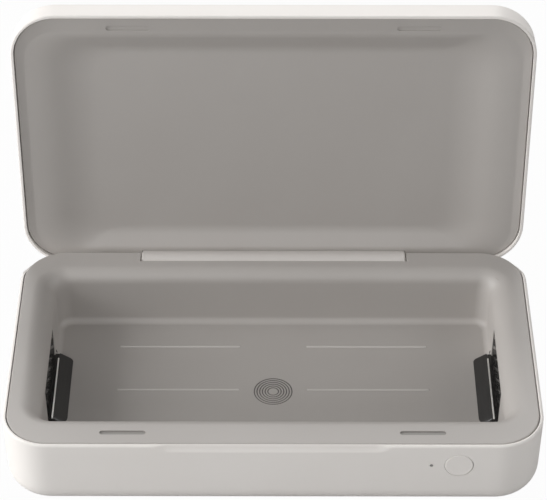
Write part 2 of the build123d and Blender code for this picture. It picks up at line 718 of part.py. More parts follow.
def lamp_guard():
    """Black lattice in the window, with a sill that slopes down to the floor."""
    back = sill_back()
    top = FLOOR + SILL_HEIGHT
    wedge_points = [(back - SILL_REACH, FLOOR), (back, FLOOR), (back, top),
                    (back - SILL_LIP, top), (back - SILL_REACH, FLOOR + SILL_LIP)]
    wedge_face = make_face(Polyline([(x, 0, z) for x, z in wedge_points], close=True))
    wedge = Pos(0, -SILL_LENGTH / 2, 0) * extrude(wedge_face, SILL_LENGTH, dir=(0, 1, 0))

    plate_x = HALF_CHAMBER_X
    y = WINDOW_LENGTH / 2 - GUARD_GAP
    z0 = window_bottom() + GUARD_GAP
    z1 = window_top() - GUARD_GAP
    frame = block(plate_x, plate_x + GUARD_THICK, -y, y, z0, z1)
    frame -= block(plate_x, plate_x + GUARD_THICK, -y + GUARD_FRAME, y - GUARD_FRAME,
                   z0 + GUARD_FRAME, z1 - GUARD_FRAME)
    field = block(plate_x, plate_x + GUARD_THICK, -y, y, z0, z1)
    lattice = Part()
    steps = int(WINDOW_LENGTH / LATTICE_PITCH) + 2
    middle = (z0 + z1) / 2
    bar = Box(GUARD_THICK, LATTICE_BAR, 2 * (z1 - z0))
    for step in range(-steps, steps + 1):
        for lean in (-LATTICE_ANGLE, LATTICE_ANGLE):
            place = Pos(plate_x + GUARD_THICK / 2, (step + 0.5) * LATTICE_PITCH, middle)
            lattice += place * Rot(lean, 0, 0) * bar
    ledge = block(back - SILL_LIP, plate_x + GUARD_THICK, -SILL_LENGTH / 2, SILL_LENGTH / 2,
                  z0, z0 + GUARD_FRAME - TRIM_THICK)
    wedge_top = block(back - SILL_LIP, back, -SILL_LENGTH / 2, SILL_LENGTH / 2, top - SILL_LIP,
                      z0 + SILL_LIP)
    return wedge + wedge_top + ledge + frame + (lattice & field)


def lamp_trim():
    """Thin bright strip on the ledge between sill and lattice."""
    z0 = window_bottom() + GUARD_GAP + GUARD_FRAME - TRIM_THICK
    x0 = sill_back()
    return block(x0, x0 + TRIM_WIDTH, -SILL_LENGTH / 2, SILL_LENGTH / 2, z0, z0 + TRIM_THICK)


def outer_chamber():
    """The outside of the chamber's walls and floor, on which the lamps are seated."""
    return chamber_block(LINER_WALL, FLOOR_UNDER)


def housing_back():
    """X of the right-hand housing's back."""
    return HALF_CHAMBER_X + LINER_WALL + HOUSING_DEPTH


def housing_z():
    """Lower and upper faces of the lamp housing."""
    return window_bottom() - HOUSING_BELOW, window_top() + HOUSING_ABOVE


def lamp_z():
    """Height of the lamp's centre line."""
    low, high = housing_z()
    return (low + high) / 2


def lamp_housing():
    """Black box behind the end wall, open towards the window."""
    low, high = housing_z()
    half = HOUSING_LENGTH / 2
    back = housing_back()
    front = HALF_CHAMBER_X - CHAMBER_TAPER
    body = block(front, back, -half, half, low, high)
    body -= block(front, back - HOUSING_WALL, -half + HOUSING_WALL, half - HOUSING_WALL,
                  low + HOUSING_WALL, high - HOUSING_WALL)
    return body - outer_chamber()


def lamp_axis_x():
    """X of the lamp's centre line."""
    return housing_back() - HOUSING_WALL - TUBE_FROM_BACK


def lamp_reflector():
    """Polished trough behind the lamp."""
    back = housing_back() - HOUSING_WALL
    place = Plane.XZ.offset(REFLECTOR_LENGTH / 2) * Pos(back - REFLECTOR_DEPTH, lamp_z())
    outer = place * Ellipse(REFLECTOR_DEPTH, REFLECTOR_HEIGHT / 2)
    inner = place * Ellipse(REFLECTOR_DEPTH - REFLECTOR_THICK,
                            REFLECTOR_HEIGHT / 2 - REFLECTOR_THICK)
    trough = extrude(outer - inner, -REFLECTOR_LENGTH)
    half = REFLECTOR_LENGTH / 2
    low, high = housing_z()
    return trough & block(back - REFLECTOR_DEPTH, back, -half, half, low, high)


def lamp_tube():
    """Clear quartz tube."""
    x = lamp_axis_x()
    half = TUBE_LENGTH / 2
    return rod_y(TUBE_RADIUS, x, -half, half, lamp_z())


def lamp_caps():
    """Two caps that hold the tube's ends against the housing's end walls."""
    x = lamp_axis_x()
    wall = HOUSING_LENGTH / 2 - HOUSING_WALL
    end = TUBE_LENGTH / 2
    cap = rod_y(CAP_RADIUS, x, end - CAP_GRIP, wall, lamp_z())
    cap -= rod_y(TUBE_RADIUS + SCREW_FIT, x, end - CAP_GRIP, end, lamp_z())
    return cap + mirror(cap, about=Plane.XZ)


# ---- charger and boards -------------------------------------------------------------------
def charger_coil():
    """Flat wound coil on the underside of the chamber floor."""
    coil = rod_z(COIL_RADIUS, 0, 0, FLOOR_UNDER - COIL_THICK, FLOOR_UNDER)
    return coil - rod_z(COIL_BORE, 0, 0, FLOOR_UNDER - COIL_THICK, FLOOR_UNDER)


def ferrite_sheet():
    """Magnetic shield under the coil."""
    top = FLOOR_UNDER - COIL_THICK
    half = FERRITE_SIDE / 2
    return plate(half, half, FERRITE_CORNER, top - FERRITE_THICK, top)


def main_board():
    """Control and charger board on the casing's floor."""
    half = MAIN_BOARD_DEPTH / 2
    board = block(MAIN_BOARD_X, MAIN_BOARD_X + MAIN_BOARD_LENGTH, -half, half,
                  BOARD_Z, BOARD_Z + BOARD_THICK)
    for x, y in main_standoffs():
        board -= rod_z(SMALL_SCREW_RADIUS + SCREW_FIT, x, y, BOARD_Z, BOARD_Z + BOARD_THICK)
    return board


def connector_spots():
    """Left edge and middle of each cable connector on the main board."""
    left = MAIN_BOARD_X + CLEARANCE
    right = MAIN_BOARD_X + MAIN_BOARD_LENGTH - CLEARANCE - CONNECTOR_SIDE
    clear = STANDOFF_RADIUS + CONNECTOR_GAP + CONNECTOR_SIDE / 2
    y = MAIN_BOARD_DEPTH / 2 - STANDOFF_INSET - clear
    return {"lamp_left": (left, -y), "lamp_right": (right, -y), "power": (left, y)}


def stand_on_board(x, y, length, depth, height):
    """A component on the main board; x and y run from the board's middle."""
    top = BOARD_Z + BOARD_THICK
    middle_x = MAIN_BOARD_X + MAIN_BOARD_LENGTH / 2
    return Pos(middle_x + x, y, top + height / 2) * Box(length, depth, height)


def component_row(count, pitch, y, size):
    """A row of small components, alike and evenly spaced."""
    row = Part()
    for step in range(count):
        row += stand_on_board((step - (count - 1) / 2) * pitch, y, *size)
    return row


def board_components():
    """Chips, coils, capacitors and connectors on the main board."""
    top = BOARD_Z + BOARD_THICK
    half = CONNECTOR_SIDE / 2
    parts = stand_on_board(0, 0, CHIP_SIDE, CHIP_SIDE, CHIP_HEIGHT)
    parts += stand_on_board(DRIVER_X, DRIVER_Y, DRIVER_SIDE, DRIVER_SIDE, CHIP_HEIGHT)
    for side in (-1, 1):
        parts += stand_on_board(CHOKE_X, side * CHOKE_PITCH_Y / 2, CHOKE_SIDE, CHOKE_SIDE,
                                CHOKE_HEIGHT)
    parts += component_row(RESISTORS, RESISTOR_PITCH, RESISTOR_ROW_Y, RESISTOR_SIZE)
    parts += component_row(CAPACITORS, CAPACITOR_PITCH, CAPACITOR_ROW_Y, CAPACITOR_SIZE)
    for x, y in connector_spots().values():
        parts += block(x, x + CONNECTOR_SIDE, y - half, y + half, top, top + CONNECTOR_HEIGHT)
    return parts


def board_screws():
    """The board screws of the main, rear and button boards, all alike."""
    screws = Part()
    for x, y in main_standoffs():
        screws += small_screw(x, y, BOARD_Z + BOARD_THICK)
    for x, y in power_posts():
        screws += small_screw(x, y, power_board_top())
    for x, z in button_posts():
        head = button_board_y() + BOARD_THICK
        screws += rod_y(SMALL_SCREW_RADIUS, x, head - SMALL_SCREW_LENGTH, head, z)
        screws += rod_y(SMALL_HEAD_RADIUS, x, head, head + SMALL_HEAD_HEIGHT, z)
    return screws


def power_board():
    """Small board behind the hinge that carries the charging socket."""
    front = power_board_front()
    top = power_board_top()
    half = POWER_BOARD_LENGTH / 2
    board = block(-half, half, front, front + POWER_BOARD_DEPTH, top - BOARD_THICK, top)
    for x, y in power_posts():
        board -= rod_z(SMALL_SCREW_RADIUS + SCREW_FIT, x, y, top - BOARD_THICK, top)
    return board


def socket_mouth():
    """Y of the socket's mouth, a little inside the rear face."""
    return HALF_Y - wall_inset(socket_z()) - SOCKET_SUNK


def usb_socket():
    """Steel sleeve of the charging socket."""
    mouth = socket_mouth()
    sleeve = socket_prism(SOCKET_WIDTH, SOCKET_HEIGHT, SOCKET_CORNER, mouth - SOCKET_LENGTH, mouth)
    return sleeve - socket_prism(SOCKET_WIDTH - 2 * SOCKET_WALL, SOCKET_HEIGHT - 2 * SOCKET_WALL,
                                 SOCKET_CORNER - SOCKET_WALL, mouth - SOCKET_LENGTH, mouth)


def usb_tongue():
    """Contact tongue and its root inside the sleeve."""
    back = socket_mouth() - SOCKET_LENGTH
    fit = SOCKET_WALL + SCREW_FIT
    root = socket_prism(SOCKET_WIDTH - 2 * fit, SOCKET_HEIGHT - 2 * fit, SOCKET_CORNER - fit,
                        back, back + TONGUE_ROOT)
    half = TONGUE_THICK / 2
    tongue = block(-TONGUE_WIDTH / 2, TONGUE_WIDTH / 2, back + TONGUE_ROOT,
                   back + TONGUE_ROOT + TONGUE_LENGTH, socket_z() - half, socket_z() + half)
    return root + tongue


def cable(points):
    """A thin round cable along straight runs joined by arcs."""
    path = FilletPolyline(*points, radius=CABLE_BEND)
    start = Vector(*points[0])
    run = Vector(*points[1]) - start
    section = Plane(origin=start, z_dir=run) * Circle(CABLE_RADIUS)
    return sweep(section, path=path)


def lamp_cable(side):
    """Cable from the main board to the lamp housing on one side."""
    z = SHELL_FLOOR + CABLE_LIFT
    name = "lamp_right" if side > 0 else "lamp_left"
    x, y = connector_spots()[name]
    start = x + CONNECTOR_SIDE if side > 0 else x
    end_x = side * lamp_axis_x()
    end_y = y + CABLE_JOG
    return cable([(start, y, z), (end_x, y, z), (end_x, end_y, z),
                  (end_x, end_y, housing_z()[0])])


def power_cable():
    """Cable from the rear board to the main board."""
    z = SHELL_FLOOR + CABLE_LIFT
    x, y = connector_spots()["power"]
    end_x = POWER_POST_X - POWER_POST_RADIUS - 2 * CABLE_RADIUS
    end_y = power_board_front() + CABLE_BEND
    return cable([(x, y, z), (end_x, y, z), (end_x, end_y, z),
                  (end_x, end_y, power_board_top() - BOARD_THICK)])


# ---- button, switch and status light ------------------------------------------------------
def button_cap():
    """Round push button with a shallow dish, a hidden flange and a stem."""
    face = front_outside() - BUTTON_PROUD
    flange = front_inside() + BUTTON_FLANGE_GAP
    flange_back = flange + BUTTON_FLANGE_THICK
    cap = rod_y(BUTTON_RADIUS, BUTTON_X, face, flange, BUTTON_Z)
    cap = fillet(cap.edges().sort_by(Axis.Y)[0], RIM_ROUND)
    dish_radius = (BUTTON_RADIUS**2 + BUTTON_DISH**2) / (2 * BUTTON_DISH)
    cap -= Pos(BUTTON_X, face + BUTTON_DISH - dish_radius, BUTTON_Z) * Sphere(dish_radius)
    cap += rod_y(BUTTON_FLANGE_RADIUS, BUTTON_X, flange, flange_back, BUTTON_Z)
    return cap + rod_y(BUTTON_STEM_RADIUS, BUTTON_X, flange_back,
                       flange_back + BUTTON_STEM_LENGTH, BUTTON_Z)


def switch_plunger():
    """Plunger of the switch, pushed by the button's stem."""
    start = button_board_y() - SWITCH_DEPTH - BUTTON_TRAVEL - PLUNGER_GAP
    return rod_y(PLUNGER_RADIUS, BUTTON_X, start, start + PLUNGER_LENGTH, BUTTON_Z)


def tact_switch():
    """Body of the switch, bored for its plunger."""
    half = SWITCH_SIDE / 2
    back = button_board_y()
    front = back - SWITCH_DEPTH
    body = block(BUTTON_X - half, BUTTON_X + half, front, back, BUTTON_Z - half, BUTTON_Z + half)
    depth = PLUNGER_LENGTH + SWITCH_BORE_GAP
    return body - rod_y(PLUNGER_RADIUS + SWITCH_BORE_GAP, BUTTON_X, front, front + depth, BUTTON_Z)


def button_board():
    """Upright board behind the front wall."""
    y = button_board_y()
    z = button_board_bottom()
    board = block(BUTTON_BOARD_LEFT, BUTTON_BOARD_RIGHT, y, y + BOARD_THICK,
                  z, z + BUTTON_BOARD_HEIGHT)
    for x, hole_z in button_posts():
        board -= rod_y(SMALL_SCREW_RADIUS + SCREW_FIT, x, y, y + BOARD_THICK, hole_z)
    return board


def status_led():
    """Light source behind the pinhole."""
    length, depth, height = LED_SIZE
    y = button_board_y()
    return block(LIGHT_X - length / 2, LIGHT_X + length / 2, y - depth, y,
                 BUTTON_Z - height / 2, BUTTON_Z + height / 2)


def light_pipe():
    """Clear pin that brings the light to the front face."""
    end = button_board_y() - LED_SIZE[1] - LED_GAP
    seat = front_inside() + LIGHT_FLANGE_GAP
    pin = rod_y(LIGHT_RADIUS, LIGHT_X, front_outside(), seat, BUTTON_Z)
    return pin + rod_y(LIGHT_FLANGE_RADIUS, LIGHT_X, seat, end, BUTTON_Z)


def lid_sensor():
    """Magnetic sensor that tells when the lid is shut."""
    length, depth, height = SENSOR_SIZE
    y = button_board_y()
    top = button_board_bottom() + BUTTON_BOARD_HEIGHT - SENSOR_RISE
    return block(SENSE_X - length / 2, SENSE_X + length / 2, y - depth, y, top - height, top)


def button_ribbon():
    """Flat flexible lead from the main board up the back of the button board."""
    x = (BUTTON_BOARD_LEFT + BUTTON_X) / 2
    back = button_board_y() + BOARD_THICK + RIBBON_THICK / 2
    z = BOARD_Z + BOARD_THICK + RIBBON_THICK / 2
    start = -MAIN_BOARD_DEPTH / 2 + RIBBON_OVERLAP / 2
    top = button_board_bottom() + RIBBON_OVERLAP
    path = FilletPolyline((x, start, z), (x, back, z), (x, back, top), radius=RIBBON_BEND)
    section = Plane(origin=(x, start, z), x_dir=(1, 0, 0), z_dir=(0, -1, 0))
    return sweep(section * Rectangle(RIBBON_WIDTH, RIBBON_THICK), path=path)


# ---- lid, drawn shut ----------------------------------------------------------------------
def hinge_flange_top():
    """Upper face of the hinge's screw flange, under the lid's bosses."""
    return LID_CEILING - HINGE_BOSS_HEIGHT


def hinge_screw_spots():
    """Middles of the hinge screws, in one row along the flange."""
    y = LINER_Y - SKIRT_WALL - HINGE_FLANGE_DEPTH + HINGE_SCREW_INSET
    first = BARREL_LENGTH / 2 - HINGE_SCREW_FROM_END
    pitch = 2 * first / (HINGE_SCREWS - 1)
    return [(step * pitch - first, y) for step in range(HINGE_SCREWS)]


def lid_shell():
    """White outer shell of the lid."""
    low = RIM + CLOSING_GAP
    body = pan(HALF_X, HALF_Y, CORNER_RADIUS, low, LID_TOP, 0, LID_EDGE_RADIUS)
    body = fillet(body.edges().group_by(Axis.Z)[0], RIM_ROUND)
    body -= pan(HALF_X - WALL, HALF_Y - WALL, CORNER_RADIUS - WALL, low, LID_CEILING, 0,
                LID_EDGE_RADIUS - WALL)
    for x, y in hinge_screw_spots():
        boss = rod_z(HINGE_BOSS_RADIUS, x, y, hinge_flange_top(), LID_CEILING + POST_ROOT)
        boss -= rod_z(SMALL_SCREW_RADIUS + SCREW_FIT, x, y, hinge_flange_top(), LID_CEILING)
        body += boss
    return body


def lid_liner():
    """Grey lining of the lid: a band all round and a shallow recess."""
    band_top = BAND + LINER_WALL
    band = plate(LINER_X, LINER_Y, LINER_CORNER, BAND, band_top)
    band = fillet(band.edges().group_by(Axis.Z)[0], LINER_EDGE_ROUND)
    skirt_top = LID_CEILING - (LID_EDGE_RADIUS - WALL)
    skirt = plate(LINER_X, LINER_Y, LINER_CORNER, band_top, skirt_top)
    skirt -= plate(LINER_X - SKIRT_WALL, LINER_Y - SKIRT_WALL, LINER_CORNER - SKIRT_WALL,
                   band_top, LID_CEILING)
    body = band + skirt + dish(band_top, RECESS_SOFT)
    body -= dish(BAND, RECESS_SOFT)
    body = fillet(mouth_edges(body, BAND, HALF_RECESS_X, HALF_RECESS_Y, RECESS_Y), RECESS_SOFT)
    body -= both_sides(pill(SLOT_LENGTH, SLOT_WIDTH, SLOT_X, LID_SLOT_Y, BAND - CUT_PAST,
                            BAND + LID_SLOT_DEPTH))
    notch = NOTCH_HALF
    body -= block(-notch, notch, LID_NOTCH_Y, HALF_Y, BAND - CUT_PAST, LID_TOP)
    return body


def hinge_barrel():
    """Barrel, neck and screw flange in one moulding, which carries the lid."""
    half = BARREL_LENGTH / 2
    barrel = rod_x(BARREL_RADIUS, -half, half, AXIS_Y, AXIS_Z)
    barrel -= block(-half, half, HALF_Y, HALF_Y + BARREL_RADIUS, AXIS_Z - BARREL_RADIUS,
                    AXIS_Z + BARREL_RADIUS)
    relief = block(-half, half, AXIS_Y + RELIEF_START, HALF_Y, AXIS_Z - BARREL_RADIUS,
                   AXIS_Z + RELIEF_TOP)
    barrel -= relief - rod_x(BARREL_CORE, -half, half, AXIS_Y, AXIS_Z)
    neck_back = LINER_Y - SCREW_FIT
    neck = block(-half, half, NECK_FRONT_Y, neck_back, AXIS_Z, hinge_flange_top())
    neck -= rod_x(BARREL_RADIUS, -half, half, AXIS_Y, AXIS_Z)
    flange_front = LINER_Y - SKIRT_WALL - HINGE_FLANGE_DEPTH
    flange = block(-half, half, flange_front, neck_back, hinge_flange_top() - HINGE_FLANGE_THICK,
                   hinge_flange_top())
    body = barrel + neck + flange
    for x, y in hinge_screw_spots():
        seat = hinge_flange_top() - HINGE_FLANGE_THICK
        body -= rod_z(SMALL_SCREW_RADIUS + SCREW_FIT, x, y, seat, hinge_flange_top())
        body -= rod_z(SMALL_HEAD_RADIUS + HINGE_HEAD_GAP, x, y, AXIS_Z + BARREL_RADIUS, seat)
    bush_bore = rod_x(BUSH_RADIUS + PIN_FIT, half - PIN_INSIDE, half, AXIS_Y, AXIS_Z)
    return body - both_sides(bush_bore)


def hinge_bushes():
    """Plain bearings in the barrel's two ends."""
    half = BARREL_LENGTH / 2
    bush = rod_x(BUSH_RADIUS, half - PIN_INSIDE, half, AXIS_Y, AXIS_Z)
    bush -= rod_x(PIN_RADIUS + PIN_RUNNING, half - PIN_INSIDE, half, AXIS_Y, AXIS_Z)
    return both_sides(bush)


def hinge_pins():
    """Steel pins held in the casing's ears, one at each end of the barrel."""
    start = BARREL_LENGTH / 2 - PIN_INSIDE + CLEARANCE
    return both_sides(rod_x(PIN_RADIUS, start, NOTCH_HALF + EAR_WIDTH, AXIS_Y, AXIS_Z))


def hinge_screws():
    """Screws that hold the hinge moulding to the lid shell."""
    screws = Part()
    seat = hinge_flange_top() - HINGE_FLANGE_THICK
    for x, y in hinge_screw_spots():
        screws += screw_z(x, y, seat, False, SMALL_SCREW_RADIUS, SMALL_SCREW_LENGTH,
                          SMALL_HEAD_RADIUS, SMALL_HEAD_HEIGHT)
    return screws


def latch_magnets():
    """Closing magnets under the base's front rim."""
    return both_sides(magnet_bar(FLANGE_UNDER - MAGNET_HEIGHT, 0))


def lid_magnets():
    """Closing magnets behind the lid's front band."""
    return both_sides(magnet_bar(BAND + LINER_WALL, 0))


def sensor_magnet():
    """Small magnet in the lid, over the lid sensor."""
    low = BAND + LINER_WALL
    return rod_z(SENSE_MAGNET_RADIUS, SENSE_X, SLOT_Y, low, low + MAGNET_HEIGHT)


# ---- the whole box ------------------------------------------------------------------------
fixed = {
    "base_shell": base_shell(),
    "base_liner": base_liner(),
    "foot_ring": foot_band(0, 0, FOOT_PROUD + FOOT_SUNK),
    "case_screws": case_screws(),
    "hinge_pins": hinge_pins(),
    "latch_magnets": latch_magnets(),
    "charger_coil": charger_coil(),
    "ferrite_sheet": ferrite_sheet(),
    "main_board": main_board(),
    "board_components": board_components(),
    "board_screws": board_screws(),
    "power_board": power_board(),
    "power_cable": power_cable(),
    "usb_socket": usb_socket(),
    "usb_tongue": usb_tongue(),
    "button_board": button_board(),
    "button_ribbon": button_ribbon(),
    "tact_switch": tact_switch(),
    "status_led": status_led(),
    "light_pipe": light_pipe(),
    "lid_sensor": lid_sensor(),
}
lamp_pieces = {
    "lamp_guard": lamp_guard(),
    "lamp_trim": lamp_trim(),
    "lamp_housing": lamp_housing(),
    "lamp_reflector": lamp_reflector(),
    "lamp_tube": lamp_tube(),
    "lamp_caps": lamp_caps(),
}
for name, piece in lamp_pieces.items():
    fixed[name + "_right"] = piece
    fixed[name + "_left"] = mirror(piece, about=Plane.YZ)
fixed["lamp_cable_right"] = lamp_cable(1)
fixed["lamp_cable_left"] = lamp_cable(-1)

pressed = {
    "button_cap": button_cap(),
    "switch_plunger": switch_plunger(),
}

swinging = {
    "lid_shell": lid_shell(),
    "lid_liner": lid_liner(),
    "hinge_barrel": hinge_barrel(),
    "hinge_bushes": hinge_bushes(),
    "hinge_screws": hinge_screws(),
    "lid_magnets": lid_magnets(),
    "sensor_magnet": sensor_magnet(),
}

nodes = dict(fixed)
nodes.update(pressed)
for name, piece in swinging.items():
    nodes[name] = piece.rotate(HINGE, -OPEN_ANGLE)

for name, piece in nodes.items():
    export_step(piece, "parts/" + name + ".step")
print(len(nodes), "nodes written")
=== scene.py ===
# %% [markdown]
# # A sanitizer box for a phone
# A low white box whose lid swings back to show a deep grey tray with an ultraviolet lamp behind a
# black lattice in each end wall. The engineering model comes in first as a fixed frame. It says
# where everything is and how it moves, and the cells below give it its soft edges and finishes.

# %% Load the fixed frame
import json
import math
import bmesh
import bpy
from mathutils import Matrix, Vector


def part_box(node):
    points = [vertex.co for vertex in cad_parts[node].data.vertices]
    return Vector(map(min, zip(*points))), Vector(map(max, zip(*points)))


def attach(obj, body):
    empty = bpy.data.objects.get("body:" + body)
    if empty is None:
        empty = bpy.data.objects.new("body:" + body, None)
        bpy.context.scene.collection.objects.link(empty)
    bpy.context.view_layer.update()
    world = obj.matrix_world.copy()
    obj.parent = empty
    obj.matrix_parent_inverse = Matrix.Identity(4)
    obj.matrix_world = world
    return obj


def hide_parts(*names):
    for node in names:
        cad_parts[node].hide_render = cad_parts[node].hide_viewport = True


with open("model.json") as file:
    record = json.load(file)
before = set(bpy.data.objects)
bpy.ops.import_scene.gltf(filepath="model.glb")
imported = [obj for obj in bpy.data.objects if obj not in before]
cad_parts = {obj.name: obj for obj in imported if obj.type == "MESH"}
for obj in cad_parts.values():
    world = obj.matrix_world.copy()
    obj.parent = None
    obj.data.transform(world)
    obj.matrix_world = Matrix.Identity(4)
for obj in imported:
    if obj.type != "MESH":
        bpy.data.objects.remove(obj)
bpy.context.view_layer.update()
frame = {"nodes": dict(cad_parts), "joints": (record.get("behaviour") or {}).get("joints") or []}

# %% [markdown]
# Sizes are in millimetres, as on a drawing, and become metres when a mesh is made. Whatever the
# frame can tell is read from it, and the walls and radii that a box can't tell are named here. The
# white walls thin out to RIM_WALL at their rims, because a fine edge makes a moulding look real.

# %% Read the main sizes from the frame
MM = 0.001
WALL = 2.0
RIM_WALL = 1.4
SEAM = 0.3
TRAY_WALL = 1.8
SKIRT_WALL = 1.5
CORNER = 20.0


def reach(node):
    """Lowest and highest corner of a frame node, in millimetres."""
    low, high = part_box(node)
    return low / MM, high / MM


tray_low, tray_high = reach("base_liner")
casing_low, casing_high = reach("base_shell")
HALF_X = tray_high.x + WALL + SEAM
HALF_Y = -tray_low.y + WALL + SEAM
TRAY_X = HALF_X - RIM_WALL - SEAM
TRAY_Y = HALF_Y - RIM_WALL - SEAM
TRAY_CORNER = CORNER - RIM_WALL - SEAM
RIM = casing_high.z
FOOT_PROUD = casing_low.z
CASING_FLOOR = FOOT_PROUD + WALL
print(f"casing {2 * HALF_X:.1f} x {2 * HALF_Y:.1f} mm, rim at {RIM:.1f} mm")

# %% Read the hinge from the frame
hinge = next(joint for joint in frame["joints"] if joint["name"] == "lid_hinge")
AXIS_Y = hinge["pos_m"][1] / MM
AXIS_Z = hinge["pos_m"][2] / MM
OPEN_ANGLE = math.radians(hinge["range_deg"][1])
to_axis = Matrix.Translation((0, AXIS_Y * MM, AXIS_Z * MM))
swing_open = to_axis @ Matrix.Rotation(-OPEN_ANGLE, 4, "X") @ to_axis.inverted()
print(f"the lid is drawn shut and swung open by {math.degrees(OPEN_ANGLE):.1f} degrees")

# %% [markdown]
# Finishes and repeats are node trees. Their maths is easier to read with plus and times signs than
# as placed Math nodes, so one small class wraps a socket and turns each sign into a node.


# %% Wire: node maths as expressions
def sign(operation, swapped=False):
    """A method that adds one Math node for a plus, minus or other sign."""
    def add_node(self, other):
        first, second = (other, self) if swapped else (self, other)
        return self.tree.node("ShaderNodeMath", {"operation": operation}, {0: first, 1: second})
    return add_node


class Wire:
    """One output socket in a node tree; arithmetic on it adds Math nodes."""

    def __init__(self, tree, socket):
        self.tree = tree
        self.socket = socket

    __add__ = sign("ADD")
    __radd__ = sign("ADD", swapped=True)
    __sub__ = sign("SUBTRACT")
    __rsub__ = sign("SUBTRACT", swapped=True)
    __mul__ = sign("MULTIPLY")
    __rmul__ = sign("MULTIPLY", swapped=True)
    __truediv__ = sign("DIVIDE")
    __pow__ = sign("POWER")
    __gt__ = sign("GREATER_THAN")
    __lt__ = sign("LESS_THAN")


# %% Tree: the one method that adds a node
class Tree:
    """A node tree that is built by calls, one node each."""

    def __init__(self, group):
        self.nodes = group.nodes
        self.links = group.links

    def node(self, kind, settings=None, inputs=None, output=0):
        """Adds a node: its settings first, then values or wires on its sockets."""
        made = self.nodes.new(kind)
        for name, value in (settings or {}).items():
            if name == "stops":
                self.set_stops(made.color_ramp, value)
            else:
                setattr(made, name, value)
        for name, value in (inputs or {}).items():
            for wire in value if isinstance(value, list) else [value]:
                self.feed(made.inputs[name], wire)
        return Wire(self, made.outputs[output])

    def feed(self, socket, value):
        """Links a wire to a socket, or sets a plain value on it."""
        if isinstance(value, Wire):
            self.links.new(value.socket, socket)
        else:
            socket.default_value = value

    @staticmethod
    def set_stops(ramp, stops):
        """Gives a colour ramp its stops, each a place and a colour."""
        while len(ramp.elements) < len(stops):
            ramp.elements.new(1.0)
        for element, (place, colour) in zip(ramp.elements, stops):
            element.position = place
            element.color = colour


# %% [markdown]
# A finish is one material. What is the same all over is set on the shader's own sockets, and only
# what really varies over the surface, such as colour, roughness and fine relief, is fed by nodes.


# %% Finish: one material
class Finish(Tree):
    """A material with one principled shader, and helpers for what varies over it."""

    def __init__(self, name, **constants):
        self.material = bpy.data.materials.new(name)
        self.material.use_nodes = True
        super().__init__(self.material.node_tree)
        self.shader = self.nodes["Principled BSDF"]
        for socket, value in constants.items():
            self.shader.inputs[socket.replace("_", " ")].default_value = value

    def place(self, stretch=(1, 1, 1)):
        """Object coordinates in millimetres, stretched along an axis if asked."""
        spot = self.node("ShaderNodeTexCoord", output="Object")
        factors = tuple(factor / MM for factor in stretch)
        return self.node("ShaderNodeVectorMath", {"operation": "MULTIPLY"}, {0: spot, 1: factors})

    def along(self, axis):
        """One object coordinate in millimetres."""
        return self.node("ShaderNodeSeparateXYZ", None, {0: self.place()}, output=axis)

    def noise(self, size, detail=2.0, stretch=(1, 1, 1)):
        """Soft random variation around a half, in spots of about size millimetres."""
        inputs = {"Vector": self.place(stretch), "Scale": 1 / size, "Detail": detail}
        return self.node("ShaderNodeTexNoise", None, inputs)

    def between(self, share, first, second):
        """A colour between two, by a wire from 0 to 1."""
        inputs = {0: share, 6: first, 7: second}
        return self.node("ShaderNodeMix", {"data_type": "RGBA"}, inputs, output=2)

    def relief(self, height, depth):
        """Fine surface relief, depth millimetres deep, from a wire from 0 to 1."""
        inputs = {"Height": height, "Distance": depth * MM}
        self.set(Normal=self.node("ShaderNodeBump", None, inputs))

    def set(self, **wires):
        """Feeds shader sockets that vary over the surface."""
        for socket, wire in wires.items():
            self.feed(self.shader.inputs[socket.replace("_", " ")], wire)
        return self


def tone(red, green, blue):
    """A screen colour, 0 to 255, as the linear light that shaders use."""
    return (*[(channel / 255) ** 2.2 for channel in (red, green, blue)], 1.0)


# %% [markdown]
# Casing and tray are injection mouldings. Their steel mould is spark-eroded, which leaves a fine
# even grain of about a quarter of a millimetre. Wide and very faint patches keep the large faces
# from looking like flat paint.


# %% Moulded plastic
GRAIN = 0.25
GRAIN_DEPTH = 0.006
PATCH = 38.0


def moulded(name, light, dark, rough):
    """A grained plastic moulding between two close tones."""
    finish = Finish(name, Specular_IOR_Level=0.45)
    patches = finish.noise(PATCH)
    fine = finish.noise(GRAIN, detail=3.0)
    finish.skin = finish.between(0.7 * patches + 0.3 * fine, light, dark)
    finish.set(Base_Color=finish.skin, Roughness=rough + 0.08 * fine + 0.05 * patches)
    finish.relief(fine, GRAIN_DEPTH)
    return finish


GREY_TONES = (tone(178, 174, 170), tone(172, 167, 163))
white_moulding = moulded("white_moulding", tone(239, 235, 231), tone(234, 229, 224), rough=0.44)
grey_moulding = moulded("grey_moulding", *GREY_TONES, rough=0.42)
tray_moulding = moulded("tray_moulding", *GREY_TONES, rough=0.42)
bar_moulding = moulded("bar_moulding", tone(214, 210, 206), tone(208, 203, 199), rough=0.42)
print("moulded finishes: white, grey, and greys of their own for the tray and the hinge bar")

# %% [markdown]
# The tray's floor carries a mark over the charging coil: fine rings, sunk a little and filled
# with grey ink. The ink is a mask on the distance from the middle of the box, so it needs no
# picture. The same numbers cut the grooves later, so ink and groove end at the same edges.

# %% The ink of the charging mark
RINGS = 6
RING_INNER = 2.35
RING_PITCH = 1.2
RING_LINE = 0.55
RING_DEPTH = 0.15
INK = tone(104, 101, 98)
FLOOR = 8.8

